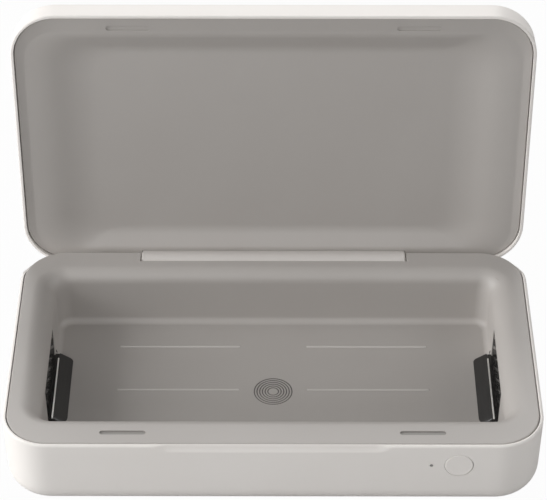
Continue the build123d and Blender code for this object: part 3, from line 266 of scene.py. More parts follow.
across = tray_moulding.along("X")
deep = tray_moulding.along("Y")
up = tray_moulding.along("Z")
radius = (across * across + deep * deep) ** 0.5
beside = tray_moulding.node("ShaderNodeMath", {"operation": "PINGPONG"},
                            {0: radius - RING_INNER, 1: RING_PITCH / 2})
on_line = (beside < RING_LINE / 2) * (radius < RING_INNER + RING_PITCH * (RINGS - 0.5))
on_line = on_line * (radius > RING_INNER - RING_LINE) * (up < FLOOR + 0.4)
inked = tray_moulding.between(on_line, tray_moulding.skin, INK)
print(f"{RINGS} inked rings, the last {2 * (RING_INNER + RING_PITCH * (RINGS - 1)):.1f} mm across")

# %% [markdown]
# The two dimples in the tray's front rim get painted shade: their floors are coloured darker than
# the rim. The ribs on the floor get a painted highlight: they are coloured paler than the floor.

# %% Painted shade in the dimples and painted highlights on the ribs
# Painted highlight: the ribs are coloured paler than the floor, standing in for the light on their backs.
RIB_PAINTED_HIGHLIGHT = tone(190, 186, 182)
RIB_REACH = (75.0, 33.0)
RIB_HIGHLIGHT_HEIGHTS = (FLOOR + 0.08, FLOOR + 0.5)
rib_highlight_mask = (up > RIB_HIGHLIGHT_HEIGHTS[0]) * (up < RIB_HIGHLIGHT_HEIGHTS[1])
rib_highlight_mask = rib_highlight_mask * (across * across < RIB_REACH[0] ** 2) * (deep * deep < RIB_REACH[1] ** 2)
inked = tray_moulding.between(rib_highlight_mask, inked, RIB_PAINTED_HIGHLIGHT)

# Painted shade: the dimples' floors are coloured darker, standing in for the shade inside these recesses.
DIMPLE_PAINTED_SHADE = tone(140, 137, 133)
DIMPLE_Y = (-57.0, -54.5)
DIMPLE_Z = (34.8, 36.3)
dimple_shade_mask = (up < DIMPLE_Z[1]) * (up > DIMPLE_Z[0]) * (deep > DIMPLE_Y[0]) * (deep < DIMPLE_Y[1])
tray_moulding.set(Base_Color=tray_moulding.between(dimple_shade_mask, inked, DIMPLE_PAINTED_SHADE))
print("masks on the tray: inked rings, painted rib highlights, painted dimple shade")

# %% [markdown]
# The lamp guards are black mouldings with a satin skin. Flow marks from moulding run along them,
# so the noise behind their gloss is stretched in that direction. The upright lattice is polished
# more than the sill, and catches small glints.

# %% Black plastic
LATTICE_X = 96.5
black_moulding = Finish("black_moulding", Specular_IOR_Level=0.5)
flow = black_moulding.noise(1.6, detail=3.0, stretch=(3.0, 0.12, 1.0))
outward = black_moulding.along("X")
polished = outward * outward > LATTICE_X * LATTICE_X
black_moulding.set(Base_Color=black_moulding.between(flow, tone(30, 29, 29), tone(50, 49, 48)),
                   Roughness=0.26 + 0.22 * flow - 0.18 * polished)
black_moulding.relief(flow, 0.03)
print(f"the guards are polished beyond x = {LATTICE_X} mm")


# %% [markdown]
# Metal parts differ mostly in tint and in how their surface was worked. One helper makes them:
# the noise is drawn out along the direction of rolling or turning, and it moves both the gloss
# and a slight relief.


# %% Metals
def metal(name, light, dark, rough, size=1.2, stretch=(1, 1, 1), depth=0.004):
    """A bare or plated metal with streaks of a given size."""
    finish = Finish(name, Metallic=1.0)
    streaks = finish.noise(size, detail=3.0, stretch=stretch)
    finish.set(Base_Color=finish.between(streaks, light, dark), Roughness=rough + 0.14 * streaks)
    finish.relief(streaks, depth)
    return finish


steel = metal("plated_steel", tone(208, 208, 206), tone(182, 182, 180), rough=0.2)
nickel = metal("nickel_plate", tone(216, 214, 210), tone(196, 193, 188), rough=0.14)
copper = metal("copper_wire", tone(214, 150, 112), tone(190, 122, 84), rough=0.24, size=0.6)
mirror = metal("polished_aluminium", tone(236, 238, 240), tone(214, 217, 220), rough=0.05,
               size=4.0, stretch=(1, 0.4, 1), depth=0.12)
brushed_trim = metal("brushed_trim", tone(246, 244, 240), tone(232, 230, 226), rough=0.42,
                     size=0.8, stretch=(1, 0.1, 1))
print("metals:", ", ".join(m.material.name for m in (steel, nickel, copper, mirror, brushed_trim)))

# %% [markdown]
# The soft ring is silicone. The remaining parts sit inside: boards with a green mask over their
# copper, black chips, cables, ceramic sockets and acetal bearings. None is a flat colour, because
# opened up they are seen.


# %% Finishes of the soft ring and the inner parts
def plain(name, light, dark, rough, size, depth, swing=0.12, **constants):
    """A non-metal with soft variation between two tones; swing is that of its roughness."""
    finish = Finish(name, **constants)
    cloud = finish.noise(size, detail=4.0)
    finish.set(Base_Color=finish.between(cloud, light, dark), Roughness=rough + swing * cloud)
    finish.relief(cloud, depth)
    return finish


grey_rubber = plain("grey_rubber", tone(118, 117, 116), tone(140, 139, 137), 0.68, 2.5, 0.02, swing=0.2,
                    Specular_IOR_Level=0.3)
chip_epoxy = plain("chip_epoxy", tone(44, 44, 46), tone(58, 58, 60), 0.5, 0.4, 0.004)
ferrite = plain("ferrite_sheet", tone(66, 66, 68), tone(84, 83, 84), 0.62, 1.4, 0.01)
ceramic = plain("ceramic", tone(232, 229, 221), tone(220, 215, 204), 0.34, 2.0, 0.004)
insulation = plain("cable_insulation", tone(226, 224, 220), tone(212, 209, 204), 0.4, 3.0, 0.006)
acetal = plain("acetal", tone(222, 221, 214), tone(210, 208, 198), 0.36, 2.0, 0.003)

board_mask = Finish("board_mask", Coat_Weight=0.6, Coat_Roughness=0.1)
lanes = board_mask.node("ShaderNodeTexBrick", {"offset": 0.5}, {
    "Vector": board_mask.place(), "Scale": 0.35, "Mortar Size": 0.035, "Mortar Smooth": 0.1,
    "Brick Width": 1.3, "Row Height": 0.7}, output="Fac")
board_mask.set(Base_Color=board_mask.between(lanes, tone(20, 96, 62), tone(46, 128, 86)),
               Roughness=0.3 + 0.1 * lanes)
board_mask.relief(lanes, 0.03)
print("inner finishes ready")

# %% [markdown]
# The quartz tubes of the lamps let light through. Their faint haze varies, so that they don't look
# like holes in the air. The light guide beside the button is smoky, and lets only some light pass.

# %% Quartz and the light guide
quartz = Finish("quartz", Transmission_Weight=1.0, IOR=1.46)
haze = quartz.noise(5.0, detail=3.0)
quartz.set(Base_Color=quartz.between(haze, tone(244, 248, 252), tone(232, 238, 246)),
           Roughness=0.02 + 0.05 * haze)
smoky_guide = plain("smoky_light_guide", tone(178, 175, 172), tone(160, 157, 154), 0.2, 2.0, 0.002,
                    Transmission_Weight=0.3, IOR=1.49)
print("finishes that let light through:", quartz.material.name, smoky_guide.material.name)

# %% [markdown]
# All mouldings here are rounded rectangles stacked through their height, like the rings of a tree.
# Every ring of one piece has the same number of points, so neighbours join into clean four-sided
# faces, and a section drawn once gives the whole part.

# %% Rounded rectangles
CORNER_STEPS = 16


def outline(half_x, half_y, corner, height, columns=(40, 20)):
    """Points of a rounded rectangle; columns are the steps along its long and short sides."""
    points = []
    for turn, (right, back) in enumerate(((1, -1), (1, 1), (-1, 1), (-1, -1))):
        middle = Vector((right * (half_x - corner), back * (half_y - corner), height))
        for step in range(CORNER_STEPS + 1):
            angle = math.radians(90 * (turn - 1 + step / CORNER_STEPS))
            points.append(middle + corner * Vector((math.cos(angle), math.sin(angle), 0)))
        away = Vector((0, 1)) if turn % 2 == 0 else Vector((1, 0))
        length = 2 * (half_y - corner) if turn % 2 == 0 else 2 * (half_x - corner)
        sense = 1 if turn == 0 or turn == 3 else -1
        count = columns[(turn + 1) % 2]
        last = points[-1]
        for step in range(1, count):
            points.append(last + sense * length * step / count * away.to_3d())
    return points


def rings(half_x, half_y, corner, profile, columns=(40, 20)):
    """One outline for each (inset, height) point of a profile."""
    made = []
    for inset, height in profile:
        near = max(corner - inset, 0.8)
        made.append(outline(half_x - inset, half_y - inset, near, height, columns))
    return made


print("points in one ring:", len(outline(50, 30, 5, 0)))


# %% [markdown]
# A section is a line with corners, and a moulding has no sharp corner. Each corner gets its
# radius here, as a run of short steps, so the roundings are real geometry with the right size.


# %% Soft corners in a section
def soften(corners, steps=6):
    """Rounds a section's corners; each is (inset, height, radius)."""
    soft = []
    for place, (inset, height, radius) in enumerate(corners):
        spot = Vector((inset, height))
        if not radius:
            soft.append(spot)
            continue
        before = (Vector(corners[place - 1][:2]) - spot).normalized()
        after = (Vector(corners[place + 1][:2]) - spot).normalized()
        half = before.angle(after) / 2
        middle = spot + (before + after).normalized() * radius / math.sin(half)
        first = spot + before * radius / math.tan(half) - middle
        last = spot + after * radius / math.tan(half) - middle
        soft += [middle + radius * first.slerp(last, step / steps) for step in range(steps + 1)]
    return soft


def show(name, data):
    """Makes an object of a mesh, lamp or camera and puts it in the scene."""
    made = bpy.data.objects.new(name, data)
    bpy.context.scene.collection.objects.link(made)
    return made


def loft(name, stack, endless=False):
    """A closed body through a stack of rings; an endless one joins its last ring to its first."""
    mesh = bmesh.new()
    rows = [[mesh.verts.new(point * MM) for point in ring] for ring in stack]
    pairs = list(zip(rows, rows[1:]))
    if endless:
        pairs.append((rows[-1], rows[0]))
    else:
        mesh.faces.new(rows[0])
        mesh.faces.new(rows[-1])
    for low, high in pairs:
        for here in range(len(low)):
            beyond = (here + 1) % len(low)
            mesh.faces.new((low[here], low[beyond], high[beyond], high[here]))
    bmesh.ops.recalc_face_normals(mesh, faces=mesh.faces)
    data = bpy.data.meshes.new(name)
    mesh.to_mesh(data)
    mesh.free()
    return show(name, data)


# %% [markdown]
# Round parts and tools are turned, as on a lathe: a section of radius against distance is carried
# round an axis. Blocks are mostly cutting tools. Only the hinge's ears and neck and the two bright
# strips are plain enough to be blocks themselves.


# %% Turned bodies and blocks
def turned(name, section, start, axis, steps=64):
    """A body turned round an axis; its section is a list of (radius, distance from start)."""
    away = Vector(axis).normalized()
    side = away.orthogonal().normalized()
    lift = away.cross(side)
    stack = []
    for radius, distance in section:
        middle = Vector(start) + away * distance
        turns = [2 * math.pi * step / steps for step in range(steps)]
        stack.append([middle + radius * (math.cos(t) * side + math.sin(t) * lift) for t in turns])
    return loft(name, stack)


def drill(radius, start, end, steps=48):
    """A straight round tool between two points."""
    away = Vector(end) - Vector(start)
    return turned("tool", [(radius, 0), (radius, away.length)], start, away, steps)


def block(low, high):
    """A square body between two corners."""
    stack = []
    for height in (low[2], high[2]):
        flat = ((low[0], low[1]), (high[0], low[1]), (high[0], high[1]), (low[0], high[1]))
        stack.append([Vector((x, y, height)) for x, y in flat])
    return loft("tool", stack)


def pill(length, width, x, y, low, high):
    """A tool for a slot with round ends, lying along X."""
    spare = 0.001
    stack = []
    for height in (low, high):
        flat = outline(length / 2, width / 2, width / 2 - spare, height, (4, 2))
        stack.append([point + Vector((x, y, 0)) for point in flat])
    return loft("tool", stack)


def drills(radius, spots, low, high):
    """Upright round tools at several spots."""
    return [drill(radius, (x, y, low), (x, y, high)) for x, y in spots]


SIDES = (1, -1)


def side_blocks(near, far, low, high):
    """A block on the right and one on the left; low and high are their (y, z) corners."""
    return [block((near, *low), (far, *high)), block((-far, *low), (-near, *high))]


# %% [markdown]
# Holes and pockets are cut with the tools above, and bosses are joined on in the same way. Once
# cut, a piece is kept as a plain mesh.


# %% Cutting, joining and settling
def settle(piece):
    """Applies a piece's modifiers and leaves a plain mesh."""
    ready = piece.evaluated_get(bpy.context.evaluated_depsgraph_get())
    plain_mesh = bpy.data.meshes.new_from_object(ready)
    piece.modifiers.clear()
    piece.data = plain_mesh
    return piece


def combine(piece, tools, operation):
    """Runs one boolean for each tool and clears the tools away."""
    for tool in tools:
        step = piece.modifiers.new(operation.lower(), "BOOLEAN")
        step.operation = operation
        step.solver = "MANIFOLD"
        step.object = tool
    settle(piece)
    for tool in tools:
        bpy.data.objects.remove(tool)
    return piece


def soft_edges(piece, width):
    """Breaks a piece's sharp edges with a small round bevel."""
    bevel = piece.modifiers.new("soft_edges", "BEVEL")
    bevel.width = width * MM
    bevel.segments = 3
    bevel.limit_method = "ANGLE"
    return settle(piece)


def dress(piece, finish, body, node, sharp=32):
    """Finishes a piece, shades it smooth and lets it stand for its node."""
    piece.data.materials.clear()
    piece.data.materials.append(finish.material)
    for face in piece.data.polygons:
        face.use_smooth = True
    piece.data.set_sharp_from_angle(angle=math.radians(sharp))
    shading = piece.modifiers.new("even_shading", "WEIGHTED_NORMAL")
    shading.keep_sharp = True
    settle(piece)
    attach(piece, body)
    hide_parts(node)
    faces = len(piece.data.polygons)
    print(f"{piece.name}: {faces} faces")


# %% [markdown]
# ## The lower casing
# The white casing is a deep pan with slightly leaning walls and a generous radius round its
# bottom edge. A shallow finger scoop is pressed into the outside of its front rim. It could be
# carved, but pushing the wall's own points inwards keeps the wall whole and its edge thin.

# %% Draw the casing's section
BASE_DRAFT = 0.55
EDGE_ROUND = 11.0
CASING_ROUND = 1.05
INNER_ROUND = 0.15
SCOOP_HALF = 49.0
SCOOP_RUNOUT = 5.0
SCOOP_RADIUS = 7.7
SCOOP_OFFSET = 6.85
DEEP_INSIDE = 50.0
REAR_LIP = 1.0
UNDER_LIP = RIM - TRAY_WALL - 0.2
SCOOP_ROWS = (16.0, 22.0, 28.0, 32.6, 33.1, 33.4, 33.8, 34.2, 34.6, 35.1, 35.6)
CASING_COLUMNS = (128, 24)
TRAY_COLUMNS = (48, 24)

wall_rows = [(BASE_DRAFT * (RIM - z) / (RIM - FOOT_PROUD), z, 0) for z in SCOOP_ROWS]
casing_section = soften([
    (DEEP_INSIDE, FOOT_PROUD, 0), (BASE_DRAFT, FOOT_PROUD, EDGE_ROUND), *wall_rows,
    (0, RIM, CASING_ROUND), (RIM_WALL, RIM, INNER_ROUND),
    (BASE_DRAFT + RIM_WALL, CASING_FLOOR, EDGE_ROUND - WALL), (DEEP_INSIDE, CASING_FLOOR, 0)], steps=10)
casing_rings = rings(HALF_X, HALF_Y, CORNER, casing_section, CASING_COLUMNS)


def scoop_depth(x, z):
    """How far the finger scoop goes into the front wall."""
    run = min(max((SCOOP_HALF - abs(x)) / SCOOP_RUNOUT, 0), 1)
    radius = SCOOP_OFFSET + (SCOOP_RADIUS - SCOOP_OFFSET) * run
    drop = RIM - z
    if drop >= radius:
        return 0
    return max(math.sqrt(radius ** 2 - drop ** 2) - SCOOP_OFFSET, 0)


# %% Press the scoop
for ring in casing_rings:
    for point in ring:
        share = 1 - (point.y + HALF_Y) / RIM_WALL
        if share > 0:
            point.y += share * scoop_depth(point.x, point.z)
casing = loft("casing", casing_rings)
print("rings in the casing:", len(casing_rings))

# %% [markdown]
# At the rear the tray's rim reaches over the casing's wall, so the casing's own rim runs down and
# out of sight round the rear corners. The same outline cuts the casing and shapes the tray's rim.


# %% The tray's rim in plan
def rim_ring(inset, height):
    """The rim's outline, which lies further back than the skirt below it."""
    ring = outline(TRAY_X - inset, TRAY_Y + REAR_LIP / 2 - inset, TRAY_CORNER + REAR_LIP / 2 - inset,
                   height, TRAY_COLUMNS)
    return [point + Vector((0, REAR_LIP / 2, 0)) for point in ring]


OUT = HALF_Y + 2
ABOVE = RIM + 2
DIP = ((46.0, RIM + 0.5), (48.0, RIM - 0.1), (53.0, UNDER_LIP + 0.4), (58.0, UNDER_LIP), (OUT, UNDER_LIP),
       (OUT, ABOVE))
rear_cuts = [loft("tool", [[Vector((x, y, z)) for y, z in DIP] for x in (-HALF_X - 1, HALF_X + 1)]),
             loft("tool", [rim_ring(0.01 - SEAM, z) for z in (UNDER_LIP, ABOVE)])]
combine(casing, rear_cuts, "DIFFERENCE")
print(f"the casing's rear rim lies {RIM - UNDER_LIP:.1f} mm lower, under the tray")

# %% Join bosses, posts and ears to the casing
CASE_SCREW = (103.5, 48.0)
CORNERS = [(x, y) for x in (-CASE_SCREW[0], CASE_SCREW[0]) for y in (-CASE_SCREW[1], CASE_SCREW[1])]
BOSS_TOP = 5.6
BOARD_SPOTS = [(x, y) for x in (34.5, 83.5) for y in (-33.5, 33.5)]
BOARD_REST = 3.4
POWER_SPOTS = [(x, 56.05) for x in (-10.5, 10.5)]
POWER_REST = 11.0
NOTCH_HALF = 60.6
EAR_FAR = 66.6
EAR_FRONT = 4.5
EAR_HALF = 5.0
under = CASING_FLOOR - 1
posts = drills(4.6, CORNERS, under, BOSS_TOP)
posts += drills(2.5, BOARD_SPOTS, under, BOARD_REST) + drills(2.3, POWER_SPOTS, under, POWER_REST)
ears = side_blocks(NOTCH_HALF, EAR_FAR, (AXIS_Y - EAR_FRONT, AXIS_Z - EAR_HALF),
                   (HALF_Y - 1, AXIS_Z + EAR_HALF))
combine(casing, posts + ears, "UNION")
print("joined to the casing:", len(posts), "posts and", len(ears), "ears")

# %% Cut the casing's openings
BUTTON_X = 77.8
BUTTON_Z = 25.7
LIGHT_X = BUTTON_X - 11.5
SOCKET_Z = 13.6
WALL_INSIDE = 58.0
NOTCH_LOW = (61.5, 26.36)
HEAD_SEAT = 3.2
FOOT = (92.0, 40.0, 18.0)
FOOT_BAND = 7.0
FOOT_TOP = 1.2
cuts = [block((-NOTCH_HALF, *NOTCH_LOW), (NOTCH_HALF, OUT, ABOVE))]
cuts.append(drill(6.1, (BUTTON_X, -OUT, BUTTON_Z), (BUTTON_X, -WALL_INSIDE, BUTTON_Z), steps=96))
cuts.append(drill(0.8, (LIGHT_X, -OUT, BUTTON_Z), (LIGHT_X, -WALL_INSIDE, BUTTON_Z)))
socket_shape = outline(4.67, 1.8, 1.65, 0, (8, 2))
cuts.append(loft("tool", [[Vector((p.x, y, SOCKET_Z + p.y)) for p in socket_shape]
                          for y in (WALL_INSIDE, OUT)]))
cuts += drills(3.0, CORNERS, -1, HEAD_SEAT) + drills(1.25, CORNERS, HEAD_SEAT - 0.2, BOSS_TOP + 1.4)
groove = [(-0.1, -1), (-0.1, FOOT_TOP), (FOOT_BAND + 0.1, FOOT_TOP), (FOOT_BAND + 0.1, -1)]
cuts.append(loft("tool", rings(*FOOT, groove), endless=True))
combine(casing, cuts, "DIFFERENCE")
dress(casing, white_moulding, "base", "base_shell")

# %% [markdown]
# ## The tray
# The grey tray drops into the casing. Its rim is wide and rolls softly into the deep chamber,
# whose walls lean out a little so that the moulding leaves its mould. One section runs from the
# outside of the chamber's bottom, up under the rim, over it, and down to the floor.

# %% Draw the tray's section
CHAMBER = (98.0, 46.6, 6.5)
CHAMBER_BACK = 1.2
CHAMBER_DROP = RIM - FLOOR
TAPER_X = 0.4
TAPER_Y = 0.3
END_THINNING = 0.4
ROLL_X = 9.5
ROLL_Y = 6.0
FLOOR_ROUND = 3.0
COLLAR = 7.2
COLLAR_END = 29.6
FLANGE_UNDER = RIM - TRAY_WALL
SKIRT_END = FLANGE_UNDER - 1.5
FLOOR_UNDER = FLOOR - TRAY_WALL
SWEEP = 7.35
TO_MIDDLE = 40
QUARTER = [math.radians(90 * step / 14) for step in range(15)]


def roll(radius, height):
    """How far the rounding of the chamber's mouth has opened it at a height."""
    rise = max(height - (RIM - radius), 0)
    return radius - math.sqrt(radius ** 2 - rise ** 2)


def chamber_ring(height, inset=0.0, rolled=1):
    """The chamber's outline at a height; inset draws it in, and its mouth is rolled or plain."""
    drop = (RIM - height) / CHAMBER_DROP
    inset_x = TAPER_X * drop - rolled * (roll(ROLL_X, height) + END_THINNING) + inset
    inset_y = TAPER_Y * drop - rolled * roll(ROLL_Y, height) + inset
    corner = max(CHAMBER[2] - (inset_x + inset_y) / 2, 0.8)
    ring = outline(CHAMBER[0] - inset_x, CHAMBER[1] - inset_y, corner, height, TRAY_COLUMNS)
    return [point + Vector((0, CHAMBER_BACK, 0)) for point in ring]


# %% Stack the tray's rings
UNDER_ROUND = FLOOR_ROUND + TRAY_WALL
tray_rings = [chamber_ring(FLOOR_UNDER, TO_MIDDLE, 0)]
tray_rings += [chamber_ring(FLOOR_UNDER + UNDER_ROUND * (1 - math.cos(turn)),
                            UNDER_ROUND * (1 - math.sin(turn)) - TRAY_WALL, 0) for turn in QUARTER[::2]]
tray_rings += [chamber_ring(COLLAR_END, -TRAY_WALL, 0), chamber_ring(COLLAR_END, -COLLAR, 0),
               chamber_ring(FLANGE_UNDER, -COLLAR, 0)]
skirt = ((SKIRT_WALL, FLANGE_UNDER), (SKIRT_WALL, SKIRT_END), (0, SKIRT_END), (0, FLANGE_UNDER - 0.02))
tray_rings += rings(TRAY_X, TRAY_Y, TRAY_CORNER, skirt, TRAY_COLUMNS)
rim_edge = soften([(0, FLANGE_UNDER, 0), (0, RIM, 0.6), (6, RIM, 0)])[:-1]
for ring in [rim_ring(inset, height) for inset, height in rim_edge]:
    for point in ring:
        if point.y > AXIS_Y:
            point.z = min(point.z, AXIS_Z + math.sqrt(SWEEP ** 2 - (point.y - AXIS_Y) ** 2))
    tray_rings.append(ring)
tray_rings.append(chamber_ring(RIM, -2))
tray_rings += [chamber_ring(RIM - ROLL_X * (1 - math.sin(turn))) for turn in QUARTER[::-1]]
tray_rings += [chamber_ring(FLOOR + FLOOR_ROUND * (1 - math.sin(turn)), FLOOR_ROUND * (1 - math.cos(turn)))
               for turn in QUARTER]
tray_rings.append(chamber_ring(FLOOR, TO_MIDDLE))
tray = loft("tray", tray_rings)
print("rings in the tray:", len(tray_rings))

# %% [markdown]
# Behind the hinge bar the tray carries a curved gutter, so that nobody looks past the bar into
# the electronics. The bar needs its own round room in front of that gutter.

# %% Join the gutter and posts, then cut the tray's openings
GUTTER_TURNS = (141.5, 272.0)
ROOM = 7.7
gutter_ends = []
for x in (-NOTCH_HALF, NOTCH_HALF):
    flat = []
    for radius, turns in ((ROOM + 1.2, GUTTER_TURNS), (ROOM, GUTTER_TURNS[::-1])):
        for step in range(25):
            angle = math.radians(turns[0] + (turns[1] - turns[0]) * step / 24)
            flat.append(Vector((x, AXIS_Y + radius * math.cos(angle), AXIS_Z + radius * math.sin(angle))))
    gutter_ends.append(flat)
combine(tray, [loft("tool", gutter_ends)] + drills(3.5, CORNERS, BOSS_TOP, FLANGE_UNDER + 0.5), "UNION")

WINDOW_LOW = (-22.0, 10.8)
WINDOW_HIGH = (20.5, 27.8)
SILL_FRONT = 90.1
SILL_HALF = 21.3
NOTCH_FRONT = 57.0
EAR_GAP = 0.5
DIMPLE = (62.7, -55.75)
DIMPLE_DEPTH = 0.6
tray_cuts = side_blocks(95.5, 100.3, WINDOW_LOW, WINDOW_HIGH)
tray_cuts += side_blocks(SILL_FRONT + 0.6, 96.4, (0.3 - SILL_HALF, FLOOR), (SILL_HALF - 0.3, FLOOR + 2.5))
tray_cuts.append(drill(ROOM, (-NOTCH_HALF, AXIS_Y, AXIS_Z), (NOTCH_HALF, AXIS_Y, AXIS_Z), steps=96))
tray_cuts.append(block((-NOTCH_HALF, NOTCH_FRONT, AXIS_Z), (NOTCH_HALF, OUT, ABOVE)))
tray_cuts += side_blocks(NOTCH_HALF, EAR_FAR + EAR_GAP,
                         (AXIS_Y - EAR_FRONT - EAR_GAP, AXIS_Z - EAR_HALF - EAR_GAP), (OUT, FLANGE_UNDER))
tray_cuts += [pill(19.4, 2.4, side * DIMPLE[0], DIMPLE[1], RIM - DIMPLE_DEPTH, RIM + 1) for side in SIDES]
for turn in range(RINGS):
    middle = RING_INNER + RING_PITCH * turn
    section = [(-RING_LINE / 2, FLOOR - RING_DEPTH), (-RING_LINE / 2, FLOOR + 1),
               (RING_LINE / 2, FLOOR + 1), (RING_LINE / 2, FLOOR - RING_DEPTH)]
    steps = [2 * math.pi * step / 72 for step in range(72)]
    stack = [[Vector(((middle + out) * math.cos(t), (middle + out) * math.sin(t), z)) for t in steps]
             for out, z in section]
    tray_cuts.append(loft("tool", stack, endless=True))
print("openings and grooves cut into the tray:", len(tray_cuts))
combine(tray, tray_cuts, "DIFFERENCE")

# %% [markdown]
# ## Things that repeat
# Ribs, lattice bars, screws and wire turns repeat by a rule, which is what Geometry Nodes are good
# at. A small class makes such a tree with named sizes, sets them on its modifier by the socket's
# identifier, and turns the result into a plain mesh.


# %% Growth: a geometry tree used once
class Growth(Tree):
    """A geometry tree with named sizes that ends as a plain mesh."""

    def __init__(self, name, **sizes):
        self.group = bpy.data.node_groups.new(name, "GeometryNodeTree")
        super().__init__(self.group)
        self.sizes = sizes
        for size, value in sizes.items():
            kind = "NodeSocketInt" if isinstance(value, int) else "NodeSocketFloat"
            if isinstance(value, bpy.types.Object):
                kind = "NodeSocketObject"
            self.group.interface.new_socket(size, in_out="INPUT", socket_type=kind)
        self.group.interface.new_socket("Shape", in_out="OUTPUT", socket_type="NodeSocketGeometry")
        self.entry = self.nodes.new("NodeGroupInput")
        self.exit = self.nodes.new("NodeGroupOutput")

    def size(self, name):
        """The wire of a named size."""
        return Wire(self, self.entry.outputs[name])

    def vector(self, x=0.0, y=0.0, z=0.0):
        """A vector from up to three wires or numbers."""
        return self.node("ShaderNodeCombineXYZ", None, {0: x, 1: y, 2: z})

    def moved(self, shape, x=0.0, y=0.0, z=0.0):
        """A shape shifted by up to three wires or numbers."""
        inputs = {"Geometry": shape, "Translation": self.vector(x, y, z)}
        return self.node("GeometryNodeTransform", None, inputs)

    def grid(self, across, deep, columns, rows):
        """Points in columns and rows about the origin."""
        inputs = {"Size X": across, "Size Y": deep, "Vertices X": columns, "Vertices Y": rows}
        return self.node("GeometryNodeMeshGrid", None, inputs)

    def copies(self, points, shape, **inputs):
        """A copy of a shape at every point."""
        inputs |= {"Points": points, "Instance": shape}
        return self.node("GeometryNodeInstanceOnPoints", None, inputs)

    def grow(self, name, shape, finish):
        """Ends the tree at this shape and returns it as a plain mesh object."""
        real = self.node("GeometryNodeRealizeInstances", None, {0: shape})
        inputs = {"Geometry": real, "Material": finish.material}
        dressed = self.node("GeometryNodeSetMaterial", None, inputs)
        self.links.new(dressed.socket, self.exit.inputs[0])
        piece = show(name, bpy.data.meshes.new(name))
        live = piece.modifiers.new("grow", "NODES")
        live.node_group = self.group
        for socket in self.group.interface.items_tree:
            if socket.in_out == "INPUT":
                live[socket.identifier] = self.sizes[socket.name]
        return settle(piece)


# %% [markdown]
# Six low ribs keep the phone off the floor so that light reaches under its edges. Each is a small
# ball, pulled long: the half with positive x moves one way and the other half the other way, so
# its ends stay round and its back stays soft. A grid of points then places all six.

# %% Grow the floor ribs
RIB = {"Length": 54.5 * MM, "Width": 1.3 * MM, "Height": 0.4 * MM, "Across": 42.25 * MM,
       "Pitch": 28.8 * MM, "Back": 1.2 * MM, "Floor": FLOOR * MM}
ribs = Growth("floor_ribs", **RIB)
ball = ribs.node("GeometryNodeMeshUVSphere", None, {"Segments": 16, "Rings": 8, "Radius": 0.5})
spot = ribs.node("GeometryNodeInputPosition")
side = ribs.node("ShaderNodeSeparateXYZ", None, {0: spot}, output=0)
pull = ((side > 0.0001) - (side < -0.0001)) * (ribs.size("Length") - ribs.size("Width")) / 2
scaled = ribs.node("GeometryNodeTransform", None, {
    "Geometry": ball, "Scale": ribs.vector(ribs.size("Width"), ribs.size("Width"), 2 * ribs.size("Height"))})
pulled = ribs.node("GeometryNodeSetPosition", None, {
    "Geometry": scaled, "Offset": ribs.vector(pull)})
spots = ribs.grid(2 * ribs.size("Across"), 2 * ribs.size("Pitch"), 2, 3)
six = ribs.moved(ribs.copies(spots, pulled), y=ribs.size("Back"), z=ribs.size("Floor"))
floor_ribs = ribs.grow("floor_ribs", six, grey_moulding)
print("ribs:", len(floor_ribs.data.polygons), "faces")
combine(tray, [floor_ribs], "UNION")
dress(tray, tray_moulding, "base", "base_liner")

# %% [markdown]
# The soft ring under the box is a silicone strip pressed into a groove. Only its rounded lower
# half stands proud.

# %% The rest ring
ring_section = soften([(0, FOOT_PROUD, 0), (0, FOOT_TOP, 0.1), (FOOT_BAND, FOOT_TOP, 0.1),
                       (FOOT_BAND, 0, 0.35), (0, 0, 0.35), (0, FOOT_PROUD, 0)])
rest_ring = loft("rest_ring", rings(*FOOT, ring_section[:-1]), endless=True)
dress(rest_ring, grey_rubber, "base", "foot_ring")

# %% [markdown]
# ## The lid
# The lid is drawn shut, where its shape is simple to read, and then swung open about the hinge
# axis. Its white casing is a shallow cap with a round edge.

# %% The lid's casing
CLOSING_GAP = 0.2
LID_LOW = RIM + CLOSING_GAP
LID_TOP = RIM + 12.9
LID_EDGE = 3.5
LID_ROUND = 0.7
CEILING = LID_TOP - WALL
FLANGE_TOP = 44.7
LID_SCREWS = [(x, 57.8) for x in (-45.0, -15.0, 15.0, 45.0)]
lid_section = soften([(DEEP_INSIDE, LID_TOP, 0), (0, LID_TOP, LID_EDGE), (0, LID_LOW, LID_ROUND),
                      (RIM_WALL, LID_LOW, 0.2), (RIM_WALL, CEILING, LID_EDGE - WALL),
                      (DEEP_INSIDE, CEILING, 0)], steps=10)
lid_casing = loft("lid_casing", rings(HALF_X, HALF_Y, CORNER, lid_section, (60, 30)))
combine(lid_casing, drills(2.6, LID_SCREWS, FLANGE_TOP, CEILING + 1), "UNION")
combine(lid_casing, drills(0.85, LID_SCREWS, FLANGE_TOP - 0.7, CEILING), "DIFFERENCE")
lid_casing.data.transform(swing_open)
dress(lid_casing, white_moulding, "lid", "lid_shell")

# %% [markdown]
# The grey lining has a band all round and a shallow recess, whose four slopes meet the band and
# the bottom of the recess in soft curves. The slopes at the ends are much longer and softer than
# those along the sides, so each ring takes its two insets from a fold of its own. The band's outer
# edge stands a little proud of its inner one, least beside the hinge.

# %% Draw the lid's lining
BAND = RIM + 2.0
BAND_DISH = 1.0
DISH_RUN = 20.0
DISH_LEAST = 0.2
BAND_TOP = BAND + TRAY_WALL
RECESS = (102.0, 56.0, 15.0)
BOTTOM_CORNER = 10.0
RECESS_BACK = 2.5
RECESS_RISE = 5.0
SLOPE_X = 17.0
SLOPE_Y = 9.0
SOFT_X = 50.0
SOFT_Y = 9.0
SOFT_BEHIND = 2.0
FOLD_STEPS = 28


